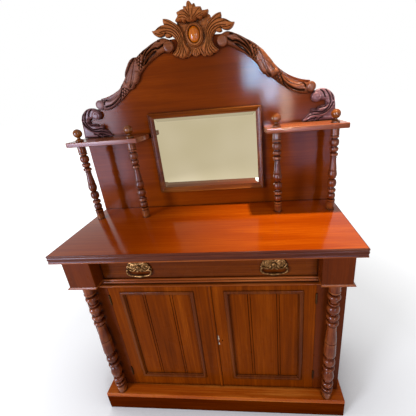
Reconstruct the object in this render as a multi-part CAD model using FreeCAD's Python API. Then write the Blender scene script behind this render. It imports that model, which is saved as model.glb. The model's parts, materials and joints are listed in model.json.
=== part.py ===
import FreeCAD, Part
import math
import os

# A Victorian mirror-back chiffonier: a two-door cupboard with a frieze drawer
# on a plinth, turned columns at the front corners, and a carved, arched back
# with a bevelled mirror and two side shelves on turned spindles.
# Millimetres, +Z up, the front faces -Y, origin at the centre of the footprint.

os.makedirs("parts", exist_ok=True)
Vec = FreeCAD.Vector

# ---------------------------------------------------------------- driving sizes
base_height = 971.0            # floor to the top board's upper face
top_width = 1220.0
top_depth = 479.0
top_thickness = 38.0
top_edge_depth = 6.0           # how far the edge moulding is worked in

side_overhang = 32.5           # top board past the carcass side
front_overhang = 82.5          # top board past the carcass front
board = 20.0                   # carcass sides, back panel
rear_upright_thickness = 22.0
rear_upright_width = 60.0
rear_upright_spacing = 560.0
rear_upright_lap = 351.0       # from the cupboard top down to its lower end
rear_upright_length = 930.0

plinth_height = 110.0          # floor to the ledge
plinth_step = 21.0             # plinth past the carcass side
ledge_depth = 55.5             # plinth past the carcass front
plinth_board = 22.0
base_board_thickness = 22.0
arris = 4.0                    # rounded edge of the ledge
glue_block = 40.0

post_width = 119.5             # from the carcass side to the opening
post_thickness = 30.0
rail_height = 43.0
drawer_opening_height = 136.0
back_board_thickness = 10.0
back_board_count = 6
back_board_gap = 1.0
dust_board_thickness = 8.0
dust_board_drop = 4.0          # below the runners' upper face
shelf_thickness = 18.0
shelf_rise = 300.0             # ledge to the underside of the cupboard shelf
shelf_setback = 40.0
batten_height = 25.0
batten_thickness = 18.0
runner_height = 22.0
guide_height = 28.0
guide_reach = 22.0             # runner under the drawer side

bead_height = 21.0             # moulding under the drawer
bead_projection = 12.0
fillet_height = 9.0            # thin moulding over the doors
fillet_projection = 14.0
fillet_gap = 9.0               # hollow between the two mouldings
fillet_return = 26.0           # fillet past the opening, behind the columns

block_height = 134.0
block_depth = 59.5
block_lip = 9.0                # thin moulding under the frieze block
block_lip_flare = 9.0
block_lip_forward = 3.5
block_proud = 0.5              # block past the carcass side
block_arris = 2.5

column_setback = 24.0          # column axis behind the plinth's front
column_radius = 26.0
column_sides = 11              # flats round a column

door_gap = 1.5
hinge_gap = 1.0
door_thickness = 22.0
hinge_stile = 60.0             # stile at the hinges
meeting_sight = 75.0           # panel opening from the centre, both doors
panel_joint = 62.5             # beaded joint from the panel's middle
top_rail_width = 38.0
bottom_rail_width = 66.0
door_panel_thickness = 10.0
door_panel_setback = 7.0
tongue = 9.0                   # panel let into the frame
tongue_clear = 1.0
moulding_width = 22.0
moulding_projection = 6.0
moulding_lap = 10.0            # moulding on the frame's face
quirk_width = 3.0
quirk_depth = 3.0
bead_pitch = 11.0              # between the two quirks of a beaded joint
meeting_offset = 13.75         # doors meet right of the centre
astragal_width = 15.0
astragal_projection = 4.5

hinge_length = 55.0
hinge_leaf = 1.5
hinge_leaf_depth = 20.0
knuckle_radius = 3.0
knuckle_forward = 2.0          # pin axis in front of the door's face
knuckle_clear = 0.5
pin_radius = 1.2
hinge_inset_top = 74.0         # door's top to the upper hinge's middle
hinge_inset_bottom = 100.0

lock_height = 60.0
lock_width = 44.0
lock_depth = 12.0
lock_wall = 2.0
selvedge = 1.5
bolt_height = 14.0
bolt_thickness = 5.0
bolt_length = 26.0
bolt_throw = 8.0
bolt_clear = 0.5
keyhole_radius = 2.5
keyhole_drop = 7.0

drawer_side_clear = 1.0
drawer_top_clear = 2.0
drawer_bottom_clear = 2.0
drawer_front_thickness = 22.0
drawer_side_thickness = 12.0
drawer_side_height = 104.0
drawer_rear_clear = 5.0
drawer_run_clear = 0.3
drawer_bottom_thickness = 8.0
drawer_bottom_rise = 9.0
drawer_bottom_tongue = 6.0
drawer_back_inset = 14.0

handle_inset = 173.0           # handle's middle from the opening's side
handle_rise = 50.0             # bail pivots over the drawer rail
plate_width = 105.0
plate_height = 50.0
plate_thickness = 3.0
plate_rise = 8.0               # plate's middle over the pivots
boss_radius = 12.0
boss_height = 9.0
bail_span = 90.0               # between the two posts
bail_drop = 38.0
bail_radius = 2.6
bail_swell = 4.2
bail_sides = 6
post_radius = 4.5
post_length = 13.0
bail_pin_radius = 1.6
bail_pin_clear = 0.4

mirror_width = 535.0
mirror_rise = 85.0             # frame over the cupboard top
mirror_height = 396.0
frame_width = 26.0
frame_depth = 23.0
frame_lap = 7.0                # frame over the edge of the glass
glass_thickness = 5.0
glass_bevel = 19.0
bevel_depth = 1.8
glass_clear = 1.0
mirror_backing_thickness = 4.0

side_shelf_rise = 391.0        # upper face over the cupboard top
side_shelf_thickness = 21.0
side_shelf_depth = 155.0
side_shelf_clear = 9.5         # inner end from the mirror frame
side_shelf_splay = 8.0         # inner end leans out towards the front
side_shelf_bulge = 5.0         # and is a little rounded
side_shelf_overhang = 7.0      # past the top board's end
side_shelf_corner = 10.0
spindle_setback = 37.0         # spindle axis behind the shelf's front edge
spindle_inset_outer = 50.0
spindle_inset_inner = 49.0
spindle_radius = 19.5
spindle_sides = 9
finial_ball = 19.5
finial_neck = 6.5
finial_foot = 17.5
finial_foot_height = 16.0
finial_sides = 10

panel_side_inset = 1.0
panel_margin = 5.0             # panel's edge behind the carving
carving_relief = 20.0
scroll_inner_across = 117.0        # centre of the inner volute from the middle
scroll_inner_rise = 359.0          # and above the side shelf
scroll_outer_inset = 129.0         # outer volute from the panel's end
scroll_outer_rise = 150.0          # and above the shelf
volute_radius = 22.0
scroll_width = 60.0            # at the shoulder, its widest
scroll_bow = 0.11              # rise of each arc of the S over its chord
shoulder_across = 0.48         # where the S turns, as shares of the way
shoulder_down = 0.46
corner_scroll_width = 160.0        # along the side shelf
corner_scroll_height = 138.0
corner_rim = 34.0                  # its outer moulding
crest_leaf_height = 72.0           # over the oval rim
cabochon_over_scrolls = 28.0       # its centre above the inner volutes
cabochon_half_width = 24.0
cabochon_half_height = 31.0
cabochon_rise = 12.0
boss_clear = 0.3               # boss in its rim
rim_width = 12.0
cartouche_half_width = 171.0
cartouche_half_height = 79.0
cartouche_thickness = 14.0
cartouche_relief = 28.0
spray_width = 26.0             # a leaf of the cartouche
carving_clear = 0.5            # between carvings planted side by side

# ---------------------------------------------------------------- derived planes
y_rear = (top_depth + rear_upright_thickness) / 2
y_back = y_rear - rear_upright_thickness      # back of the carcass and panel
y_panel = y_back - board                      # front of the carved back
y_top_front = y_back - top_depth
y_front = y_top_front + front_overhang        # front of posts, doors and drawer
y_plinth = y_front - ledge_depth
y_behind_posts = y_front + post_thickness
y_back_boards = y_back - back_board_thickness

half_top = top_width / 2
half_carcass = half_top - side_overhang
half_plinth = half_carcass + plinth_step
half_opening = half_carcass - post_width
z_under_top = base_height - top_thickness
inner_side = half_carcass - board
rail_top = z_under_top - drawer_opening_height     # underside of the drawer opening
block_bottom = z_under_top - block_height
side_shelf_top = base_height + side_shelf_rise
mirror_bottom = base_height + mirror_rise
cabochon_centre = side_shelf_top + scroll_inner_rise + cabochon_over_scrolls


# ---------------------------------------------------------------- small helpers
def box(x0, x1, y0, y1, z0, z1):
    return Part.makeBox(x1 - x0, y1 - y0, z1 - z0, Vec(x0, y0, z0))


def mirrored(shape):
    return shape.mirror(Vec(0, 0, 0), Vec(1, 0, 0))


def both(shape):
    return [shape, mirrored(shape)]


def save(name, shapes):
    solids = shapes if isinstance(shapes, list) else [shapes]
    shape = solids[0] if len(solids) == 1 else Part.makeCompound(solids)
    shape.exportStep(os.path.join("parts", name + ".step"))


def one_solid(shape):
    """The result of a fuse or cut as one plain solid, without loose slivers."""
    return max(shape.removeSplitter().Solids, key=lambda solid: solid.Volume)


def section_yz(points, x0, x1):
    """A (y, z) outline drawn along X."""
    wire = Part.makePolygon([Vec(x0, y, z) for y, z in points + points[:1]])
    return Part.Face(wire).extrude(Vec(x1 - x0, 0, 0))


def section_xz(points, y0, y1):
    """An (x, z) outline drawn along Y."""
    wire = Part.makePolygon([Vec(x, y0, z) for x, z in points + points[:1]])
    return Part.Face(wire).extrude(Vec(0, y1 - y0, 0))


def facet(points):
    return Part.Face(Part.makePolygon(points + points[:1]))


def turned(profile, x, y, z, sides):
    """Turning about a vertical axis from (radius, height) pairs, worked in fine flats."""
    rings = []
    for radius, height in profile:
        rings.append([Vec(x + radius * math.cos(2 * math.pi * k / sides),
                          y + radius * math.sin(2 * math.pi * k / sides), z + height) for k in range(sides)])
    faces = [facet(rings[0]), facet(rings[-1])]
    for low, high in zip(rings, rings[1:]):
        for k in range(sides):
            n = (k + 1) % sides
            faces.append(facet([low[k], low[n], high[n], high[k]]))
    return closed(faces)


def rolled(neck, radius, height):
    """Steps of a turned ring: out from the neck, round and in again."""
    return [(radius, height * 0.22), (radius, height * 0.56), (neck, height * 0.22)]


def ball(neck, radius, height):
    """Steps of a turned ball or torus between two necks."""
    shoulder = neck + (radius - neck) * 0.75
    turn, side = height * 0.18, height * 0.32
    return [(shoulder, turn), (radius, side), (shoulder, side), (neck, turn)]


def stacked(start, steps):
    """Profile from (radius, rise) steps, each above the one before."""
    profile, z = [(start, 0.0)], 0.0
    for radius, rise in steps:
        z += rise
        profile.append((radius, z))
    return profile


def rises(steps):
    return sum(rise for radius, rise in steps)


def closed(faces):
    """Solid bounded by faces that share their edges."""
    shell = Part.makeShell(faces)
    shell.sewShape()
    solid = Part.makeSolid(shell if isinstance(shell, Part.Shell) else shell.Shells[0])
    if solid.Volume < 0:
        solid.reverse()
    return solid


def carved(sections):
    """Solid with flat carved facets through a row of equal-sided sections."""
    faces = [facet(sections[0]), facet(sections[-1])]
    for a, b in zip(sections, sections[1:]):
        for i in range(len(a)):
            j = (i + 1) % len(a)
            faces.append(facet([a[i], a[j], b[j]]))
            faces.append(facet([a[i], b[j], b[i]]))
    return closed(faces)


def smooth_points(points, count):
    """Evenly spaced points (x, z) along a smooth line through the given ones."""
    curve = Part.BSplineCurve()
    curve.interpolate([Vec(x, 0, z) for x, z in points])
    return [(p.x, p.z) for p in curve.toShape().discretize(Number=count)]


def normals(points):
    """In-plane unit normal at each point, to the left of the way along the line."""
    found = []
    for i in range(len(points)):
        x0, z0 = points[max(i - 1, 0)]
        x1, z1 = points[min(i + 1, len(points) - 1)]
        length = math.hypot(x1 - x0, z1 - z0)
        found.append((-(z1 - z0) / length, (x1 - x0) / length))
    return found


# section of a carved leaf or moulding: across (-0.5 to 0.5) and up (0 to 1)
GROOVED = [(-0.5, 0.0), (-0.5, 0.4), (-0.3, 1.0), (0.0, 0.55), (0.3, 1.0), (0.5, 0.4), (0.5, 0.0)]
RIDGED = [(-0.5, 0.0), (-0.5, 0.35), (0.0, 1.0), (0.5, 0.35), (0.5, 0.0)]


def leaf(path, widths, heights, y, profile=RIDGED):
    """Carved leaf or moulding along a path of (x, z) points, its back at y."""
    sections = []
    for (x, z), (nx, nz), w, h in zip(path, normals(path), widths, heights):
        sections.append([Vec(x + nx * u * w, y - v * h, z + nz * u * w) for u, v in profile])
    return carved(sections)


def swelling(count, start, middle, end, peak=0.5):
    """Widths that grow from start to middle and shrink to end."""
    values = []
    for i in range(count):
        t = i / (count - 1)
        if t < peak:
            values.append(start + (middle - start) * math.sin(t / peak * math.pi / 2))
        else:
            values.append(middle + (end - middle) * ((t - peak) / (1 - peak)) ** 2)
    return values


def fused(first, others):
    return one_solid(first.multiFuse(others))


def oval(half_width, half_height, z, y, sides=16):
    """Upright oval of straight cuts about (0, z), at depth y."""
    points = []
    for k in range(sides):
        a = 2 * math.pi * k / sides
        points.append(Vec(half_width * math.cos(a), y, z + half_height * math.sin(a)))
    return points


def volute(x, z, y, radius, height):
    """Round scroll eye: a low dome on the carving."""
    steps = [(1.0, 0.0), (1.0, 0.6), (0.8, 0.9), (0.4, 1.0)]
    dome = carved([oval(radius * r, radius * r, z, y - height * h, 14) for r, h in steps])
    dome.translate(Vec(x, 0, 0))
    return dome


def mitred_frame(x0, x1, z0, z1, width, profile, front, rear):
    """Four mitred lengths with a profile of (inwards from the outer edge, y) points."""
    lengths = []
    for along_x, near, sign in ((True, z0, 1), (True, z1, -1), (False, x0, 1), (False, x1, -1)):
        w = sign * width
        if along_x:
            points = [Vec(x0, y, near + sign * u) for u, y in profile]
            way = Vec(x1 - x0, 0, 0)
            trim = [(x0, near), (x1, near), (x1 - width, near + w), (x0 + width, near + w)]
        else:
            points = [Vec(near + sign * u, y, z0) for u, y in profile]
            way = Vec(0, 0, z1 - z0)
            trim = [(near, z0), (near, z1), (near + w, z1 - width), (near + w, z0 + width)]
        lengths.append(one_solid(facet(points).extrude(way).common(section_xz(trim, front - 1, rear + 1))))
    return lengths


# ---------------------------------------------------------------- plinth and base board
def plinth():
    z1 = plinth_height - base_board_thickness
    t = plinth_board
    front = Part.makePolygon([
        Vec(-half_plinth, y_plinth, 0), Vec(half_plinth, y_plinth, 0),
        Vec(half_plinth - t, y_plinth + t, 0), Vec(-half_plinth + t, y_plinth + t, 0),
        Vec(-half_plinth, y_plinth, 0),
    ])
    side = Part.makePolygon([
        Vec(half_plinth, y_plinth, 0), Vec(half_plinth, y_back, 0),
        Vec(half_plinth - t, y_back, 0), Vec(half_plinth - t, y_plinth + t, 0),
        Vec(half_plinth, y_plinth, 0),
    ])
    inner = half_plinth - t
    boards = [Part.Face(front).extrude(Vec(0, 0, z1)), box(-inner, inner, y_back - t, y_back, 0, z1)]
    boards += both(Part.Face(side).extrude(Vec(0, 0, z1)))
    save("plinth_frame", boards)
    blocks = []
    for y0 in (y_plinth + t, y_back - t - glue_block):
        blocks += both(box(inner - glue_block, inner, y0, y0 + glue_block, 0, z1))
    save("plinth_blocks", blocks)


def base_board():
    z0, z1 = plinth_height - base_board_thickness, plinth_height
    slab = box(-half_plinth, half_plinth, y_plinth, y_back, z0, z1)
    rounded = [e for e in slab.Edges
               if abs(e.BoundBox.ZMin - z1) < 0.01 and abs(e.BoundBox.ZMax - z1) < 0.01
               and not e.BoundBox.YMin > y_back - 0.01]
    save("base_board", slab.makeFillet(arris, rounded))


# ---------------------------------------------------------------- carcass
def carcass():
    side = box(inner_side, half_carcass, y_behind_posts, y_back, plinth_height, z_under_top)
    save("side_right", side)
    save("side_left", mirrored(side))
    post = box(half_opening, half_carcass, y_front, y_behind_posts, plinth_height, z_under_top)
    for z in hinge_heights():
        post = post.cut(hinge_housing(z))
        post = post.cut(fixed_leaf_plate(z))
    save("post_right", post)
    save("post_left", mirrored(post))
    rail = box(-half_opening, half_opening, y_front, y_behind_posts, rail_top - rail_height, rail_top)
    save("drawer_rail", rail)

    width = (2 * inner_side - (back_board_count - 1) * back_board_gap) / back_board_count
    boards = []
    for i in range(back_board_count):
        x0 = -inner_side + i * (width + back_board_gap)
        boards.append(box(x0, x0 + width, y_back_boards, y_back, plinth_height, z_under_top))
    save("back_boards", boards)

    runner = section_xz([
        (half_opening - guide_reach, rail_top - runner_height),
        (inner_side, rail_top - runner_height),
        (inner_side, rail_top + guide_height),
        (half_opening, rail_top + guide_height),
        (half_opening, rail_top),
        (half_opening - guide_reach, rail_top),
    ], y_behind_posts, y_back_boards)
    save("drawer_runners", both(runner))
    x = half_opening - guide_reach
    z1 = rail_top - dust_board_drop
    save("dust_board", box(-x, x, y_behind_posts, y_back_boards, z1 - dust_board_thickness, z1))

    z0 = plinth_height + shelf_rise
    save("cupboard_shelf", box(-inner_side + hinge_gap, inner_side - hinge_gap,
                               y_behind_posts + shelf_setback, y_back_boards, z0, z0 + shelf_thickness))
    batten = box(inner_side - batten_thickness, inner_side, y_behind_posts + shelf_setback,
                 y_back_boards, z0 - batten_height, z0)
    save("shelf_battens", both(batten))


def moulded(points, front, reach, z):
    """Profile given as (forward, up) pairs, standing on the face at front."""
    return [(front - a * reach, z + b) for a, b in points]


def front_mouldings():
    h, p = bead_height, bead_projection
    bead = [(0, 0), (0.55, 0.0), (0.55, 0.14 * h), (0.85, 0.3 * h), (1.0, 0.55 * h), (0.92, 0.8 * h),
            (0.7, 0.93 * h), (0.7, h), (0, h)]
    z0 = rail_top - bead_height
    save("rail_bead", section_yz(moulded(bead, y_front, p, z0), -half_opening, half_opening))
    h, p = fillet_height, fillet_projection
    fillet = [(0, 0), (0.75, 0), (1.0, 0.25 * h), (1.0, 0.6 * h), (0.55, h), (0, h)]
    z1 = z0 - fillet_gap
    x = half_opening + fillet_return
    save("rail_fillet", section_yz(moulded(fillet, y_front, p, z1 - fillet_height), -x, x))


def frieze_blocks():
    y0 = y_front - block_depth
    outer = half_carcass + block_proud
    block = box(half_opening, outer, y0, y_front, block_bottom, z_under_top)
    arrises = [e for e in block.Edges if e.BoundBox.ZLength > block_lip and e.BoundBox.YMax < y0 + 0.01]
    block = block.makeChamfer(block_arris, arrises)
    save("frieze_block_right", block)
    save("frieze_block_left", mirrored(block))
    z0, z1 = block_bottom - block_lip, block_bottom
    f, s = block_lip_forward, block_lip_flare
    cove = [(1.0, 0.0), (1.0, 0.35), (0.35, 0.6), (0.0, 1.0)]     # (share of the flare, share of the height)
    front = [(y0 - f * a, z0 + block_lip * b) for a, b in cove] + [(y_front, z1), (y_front, z0)]
    flank = [(outer + s * a, z0 + block_lip * b) for a, b in cove] + [(half_opening, z1), (half_opening, z0)]
    lip = section_yz(front, half_opening, outer + s).common(section_xz(flank, y0 - f, y_front))
    save("block_mouldings", both(one_solid(lip)))


def column_profile(height):
    """Turned column from the foot up, as (radius, height) pairs; the vase takes up the length."""
    r = column_radius
    low, mid, neck = r * 0.8, r * 0.74, r * 0.64
    below = [(r * 0.92, r * 2.15), (low, r * 0.08)]                          # tapering foot
    below += rolled(low, r * 0.97, r * 0.73)
    below += [(low, r * 0.2)] + ball(low, r, r * 1.08)
    below += [(mid, r * 0.2), (r * 0.87, r * 0.46), (r * 0.9, r * 1.3), (mid, r * 0.46)]      # barrel
    below += [(low, r * 0.2)] + rolled(low, r * 0.98, r * 1.15)
    below += [(low, r * 0.23)] + ball(low, r, r * 1.54)
    below += [(mid, r * 0.2), (r * 0.92, r * 0.5), (r * 0.97, r * 0.7)]
    above = [(mid, r * 0.2)] + ball(mid, r, r * 1.04)
    above += [(mid, r * 0.18)] + ball(mid, r, r * 1.12)
    above += [(mid, r * 0.18)] + ball(mid, r, r * 1.46)
    above += [(r * 0.82, r * 0.25), (neck, r * 0.15), (neck, r * 0.65)]
    above += ball(neck, r * 0.98, r * 1.15)
    above += [(neck, r * 0.2), (r * 0.96, r * 0.2), (r * 0.96, r * 0.35), (r * 0.88, r * 0.1)]
    vase = height - rises(below) - rises(above) - r * 1.4
    vase_steps = [(r * 0.9, vase * 0.45), (mid, vase * 0.55)]
    return stacked(r * 0.77, below + vase_steps + above) + [(r * 0.88, height)]


def columns():
    x = (half_opening + half_carcass) / 2
    height = block_bottom - block_lip - plinth_height
    column = turned(column_profile(height), x, y_plinth + column_setback, plinth_height, column_sides)
    save("columns", both(column))


def top_board():
    t, d = top_thickness, top_edge_depth
    # from the upper face down: arris, quirk, ovolo, cove and lip, as (inset, depth) shares of d and t
    edge = [(d * 0.5, 0.0), (0.0, t * 0.08), (0.0, t * 0.17), (d * 0.75, t * 0.18), (d * 0.7, t * 0.24),
            (d * 0.1, t * 0.3), (0.0, t * 0.42), (d * 0.25, t * 0.54), (d * 0.85, t * 0.62), (d, t * 0.72),
            (d * 0.5, t * 0.84), (d * 0.1, t * 0.85), (d * 0.1, t)]
    top = base_height
    front = [(y_top_front + a, top - b) for a, b in edge]
    slab = section_yz(front + [(y_back, z_under_top), (y_back, top)], -half_top, half_top)
    right = [(half_top - a, top - b) for a, b in edge]
    left = [(-x, z) for x, z in reversed(right)]
    slab = slab.common(section_xz(right + left, y_top_front, y_back))
    save("top_board", one_solid(slab))


# ---------------------------------------------------------------- hinges and doors
z_door_bottom = plinth_height + door_gap
z_door_top = rail_top - rail_height - door_gap
lock_middle = (z_door_bottom + z_door_top) / 2
door_edge = half_opening - hinge_gap
y_pin = y_front - knuckle_forward
x_pin = half_opening - hinge_gap / 2


def hinge_heights():
    return [z_door_bottom + hinge_inset_bottom, z_door_top - hinge_inset_top]


def rod(radius, z0, z1, sides=8):
    """Upright rod on the hinge pin's line."""
    ring = []
    for k in range(sides):
        a = 2 * math.pi * (k + 0.5) / sides
        ring.append(Vec(x_pin + radius * math.cos(a), y_pin + radius * math.sin(a), z0))
    return facet(ring).extrude(Vec(0, 0, z1 - z0))


def hinge_housing(z):
    half = hinge_length / 2 + knuckle_clear
    return rod(knuckle_radius + knuckle_clear, z - half, z + half)


def fixed_leaf_plate(z):
    half = hinge_length / 2
    return box(half_opening, half_opening + hinge_leaf, y_pin, y_front + hinge_leaf_depth,
               z - half, z + half)


def moving_leaf_plate(z):
    half = hinge_length / 2
    return box(door_edge - hinge_leaf, door_edge, y_pin, y_front + hinge_leaf_depth, z - half, z + half)


def hinge(z):
    """Butt hinge at the right-hand post: the fixed leaf with its pin, and the door's leaf."""
    half = hinge_length / 2
    third = hinge_length / 6
    r, c = knuckle_radius, knuckle_clear
    fixed = fixed_leaf_plate(z).cut(rod(r + c, z - third - c / 2, z + third + c / 2))
    fixed = fixed.multiFuse([rod(r, z - half, z - third - c / 2), rod(r, z + third + c / 2, z + half),
                             rod(pin_radius, z - half, z + half, 6)])
    moving = moving_leaf_plate(z)
    for z0, z1 in ((z - half - c, z - third + c / 2), (z + third - c / 2, z + half + c)):
        moving = moving.cut(rod(r + c, z0, z1))
    moving = moving.fuse(rod(r, z - third + c / 2, z + third - c / 2))
    moving = moving.cut(rod(pin_radius + c, z - third, z + third, 8))
    return one_solid(fixed), one_solid(moving)


meeting_edge_left = meeting_offset - door_gap / 2
meeting_edge_right = meeting_offset + door_gap / 2
panel_edge_inner = meeting_sight
panel_edge_outer = door_edge - hinge_stile


def one_door(side, meeting_edge):
    """Pieces of the door on one side (1 is right); meeting_edge is its signed inner edge."""
    y0, y1 = y_front, y_front + door_thickness
    z0, z1 = z_door_bottom, z_door_top
    a, b = sorted((side * panel_edge_inner, side * panel_edge_outer))
    lo, hi = z0 + bottom_rail_width, z1 - top_rail_width
    outer = sorted((side * panel_edge_outer, side * door_edge))
    meet = sorted((side * panel_edge_inner, meeting_edge))
    hanging = box(outer[0], outer[1], y0, y1, z0, z1)
    meeting = box(meet[0], meet[1], y0, y1, z0, z1)
    top = box(a, b, y0, y1, hi, z1)
    bottom = box(a, b, y0, y1, z0, lo)

    py0 = y0 + door_panel_setback
    groove = box(a - tongue, b + tongue, py0, py0 + door_panel_thickness, lo - tongue, hi + tongue)
    t = tongue - tongue_clear
    panel = box(a - t, b + t, py0, py0 + door_panel_thickness, lo - t, hi + t)
    middle = (a + b) / 2
    boards = 2 * panel_joint
    for joint in (middle - boards / 2, middle + boards / 2):
        for quirk in (joint - bead_pitch / 2, joint + bead_pitch / 2):
            wedge = Part.makePolygon([
                Vec(quirk - quirk_width / 2, py0, lo - tongue),
                Vec(quirk + quirk_width / 2, py0, lo - tongue),
                Vec(quirk, py0 + quirk_depth, lo - tongue), Vec(quirk - quirk_width / 2, py0, lo - tongue),
            ])
            panel = panel.cut(Part.Face(wedge).extrude(Vec(0, 0, hi - lo + 2 * tongue)))
    frame = [piece.cut(groove) for piece in (hanging, meeting, top, bottom)]
    return frame, one_solid(panel), (a, b, lo, hi)


def bolection(a, b, lo, hi):
    """Moulding round the panel that laps the frame's face."""
    lap, width, p = moulding_lap, moulding_width, moulding_projection
    face, sunk = y_front, y_front + door_panel_setback
    profile = [(0.0, face), (0.0, face - 0.5 * p), (2.0, face - 0.75 * p), (5.0, face - p), (9.0, face - p),
               (12.0, face - 0.5 * p), (15.0, face + 0.1 * p), (19.0, face - 0.1 * p),
               (21.0, face + 0.2 * p), (width, face + 0.6 * p), (width, sunk), (lap, sunk), (lap, face)]
    return mitred_frame(a - lap, b + lap, lo - lap, hi + lap, width, profile, face - p, sunk)


def doors():
    fixed, moving = zip(*[hinge(z) for z in hinge_heights()])
    save("hinge_plates", list(fixed) + [mirrored(s) for s in fixed])
    save("right_door_hinges", list(moving))
    save("left_door_hinges", [mirrored(s) for s in moving])

    frame, panel, sight = one_door(1, meeting_edge_right)
    for z in hinge_heights():
        frame[0] = frame[0].cut(hinge_housing(z)).cut(moving_leaf_plate(z))
    frame[1] = frame[1].cut(lock_recess())
    save("right_door_frame", [one_solid(piece) for piece in frame])
    save("right_door_panel", panel)
    save("right_door_moulding", bolection(*sight))

    frame, panel, sight = one_door(-1, meeting_edge_left)
    for z in hinge_heights():
        frame[0] = frame[0].cut(mirrored(hinge_housing(z))).cut(mirrored(moving_leaf_plate(z)))
    frame[1] = frame[1].cut(bolt_mortise())
    save("left_door_frame", [one_solid(piece) for piece in frame])
    save("left_door_panel", panel)
    save("left_door_moulding", bolection(*sight))

    x1, w, p = meeting_edge_left, astragal_width, astragal_projection
    bead = [(x1 - w, 0.0), (x1 - w, 0.45), (x1 - w * 0.8, 0.85), (x1 - w * 0.5, 1.0), (x1 - w * 0.2, 0.85),
            (x1, 0.45), (x1, 0.0)]
    wire = [Vec(x, y_front - v * p, z_door_bottom) for x, v in bead]
    strip = Part.Face(Part.makePolygon(wire + wire[:1])).extrude(Vec(0, 0, z_door_top - z_door_bottom))
    save("astragal", strip)


# ---------------------------------------------------------------- lock on the right door
y_lock = y_front + door_thickness - lock_depth
y_bolt = y_lock + (lock_depth - bolt_thickness) / 2


def lock_recess():
    z0, z1 = lock_middle - lock_height / 2, lock_middle + lock_height / 2
    x0 = meeting_edge_right
    pocket = box(x0, x0 + lock_width, y_lock, y_front + door_thickness, z0, z1)
    edge = box(x0, x0 + selvedge, y_front, y_front + door_thickness, z0, z1)
    x_key = x0 + lock_width / 2
    start = Vec(x_key, y_front - 1, lock_middle)
    round_hole = Part.makeCylinder(keyhole_radius, door_thickness, start, Vec(0, 1, 0))
    slot = box(x_key - 1.2, x_key + 1.2, y_front - 1, y_lock, lock_middle - keyhole_drop, lock_middle)
    return pocket.fuse(edge).fuse(round_hole).fuse(slot)


def bolt_mortise():
    x1 = meeting_edge_left
    c = bolt_clear
    return box(x1 - bolt_throw, x1, y_bolt - c, y_bolt + bolt_thickness + c,
               lock_middle - bolt_height / 2 - c, lock_middle + bolt_height / 2 + c)


def lock():
    z0, z1 = lock_middle - lock_height / 2, lock_middle + lock_height / 2
    x0 = meeting_edge_right
    w, c = lock_wall, bolt_clear
    case = box(x0, x0 + lock_width, y_lock, y_front + door_thickness, z0, z1)
    case = case.fuse(box(x0, x0 + selvedge, y_front, y_front + door_thickness, z0, z1))
    way = box(x0, x0 + bolt_length + w, y_bolt - c, y_bolt + bolt_thickness + c,
              lock_middle - bolt_height / 2 - c, lock_middle + bolt_height / 2 + c)
    save("door_lock", one_solid(case.cut(way)))
    bolt = box(x0 + c, x0 + c + bolt_length - w, y_bolt, y_bolt + bolt_thickness,
               lock_middle - bolt_height / 2, lock_middle + bolt_height / 2)
    save("lock_bolt", bolt)


# ---------------------------------------------------------------- drawer
def drawer():
    half = half_opening - drawer_side_clear
    z0, z1 = rail_top + drawer_bottom_clear, z_under_top - drawer_top_clear
    y0, y1 = y_front, y_front + drawer_front_thickness
    t = drawer_side_thickness
    side_bottom = rail_top + drawer_run_clear
    side_rear = y_back_boards - drawer_rear_clear
    floor = side_bottom + drawer_bottom_rise
    tongue_x = half - t + drawer_bottom_tongue

    front = box(-half, half, y0, y1, z0, z1)
    slot = box(-tongue_x, tongue_x, y1 - drawer_bottom_tongue, side_rear,
               floor, floor + drawer_bottom_thickness)
    save("drawer_front", front.cut(slot))
    side = box(half - t, half, y1, side_rear, side_bottom, side_bottom + drawer_side_height)
    side = side.cut(slot)
    save("drawer_sides", both(side))
    back_z = floor + drawer_bottom_thickness
    y_b = side_rear - drawer_back_inset
    save("drawer_back", box(-half + t, half - t, y_b - t, y_b, back_z, side_bottom + drawer_side_height - 8))
    save("drawer_bottom", slot)


handle_height = rail_top + handle_rise


def plate_outline():
    """Rococo back plate: a shell in the middle, scrolled lobes at each end."""
    w, h = plate_width / 2, plate_height / 2
    right = [(0.0, -0.7), (0.2, -0.55), (0.42, -0.85), (0.7, -0.6), (0.85, -0.3), (1.0, 0.0), (0.9, 0.3),
             (0.98, 0.75), (0.8, 1.0), (0.62, 0.75), (0.5, 0.95), (0.3, 0.7), (0.16, 1.0), (0.0, 0.85)]
    left = [(-u, v) for u, v in reversed(right[1:-1])]
    return [(w * u, h * v) for u, v in right + left]


def handles():
    """Cast back plates with a domed boss and two posts each, and swinging bails."""
    plates = []
    for side in (-1, 1):
        x = side * (half_opening - handle_inset)
        z = handle_height + plate_rise
        t = plate_thickness
        plate = section_xz([(x + px, z + pz) for px, pz in plate_outline()], y_front - t, y_front)
        pieces = [volute(x, z, y_front - t / 2, boss_radius, boss_height)]
        for end in (-1, 1):
            wing = smooth_points([(x + end * boss_radius * 1.2, z - 8), (x + end * 28, z - 10),
                                  (x + end * 37, z + 1), (x + end * 44, z + 15)], 5)
            pieces.append(leaf(wing, swelling(5, 5, 9, 3), swelling(5, 3, 4.5, 2), y_front - t + 0.2))
            px = x + end * bail_span / 2
            pieces.append(stub(px, handle_height, post_radius, y_front - post_length, y_front))
        y_pivot = y_front - post_length + post_radius
        plate = plate.multiFuse(pieces)
        for end in (-1, 1):
            px = x + end * bail_span / 2
            plate = plate.cut(cross_hole(px, y_pivot, handle_height))
        plates.append(one_solid(plate))
        save("bail_left" if side < 0 else "bail_right", bail(x, y_pivot))
    save("handle_plates", plates)


def stub(x, z, radius, y0, y1, sides=8):
    """Round post standing towards the front."""
    ring = [(x + radius * math.cos(2 * math.pi * k / sides), z + radius * math.sin(2 * math.pi * k / sides))
            for k in range(sides)]
    return section_xz(ring, y0, y1)


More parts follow.
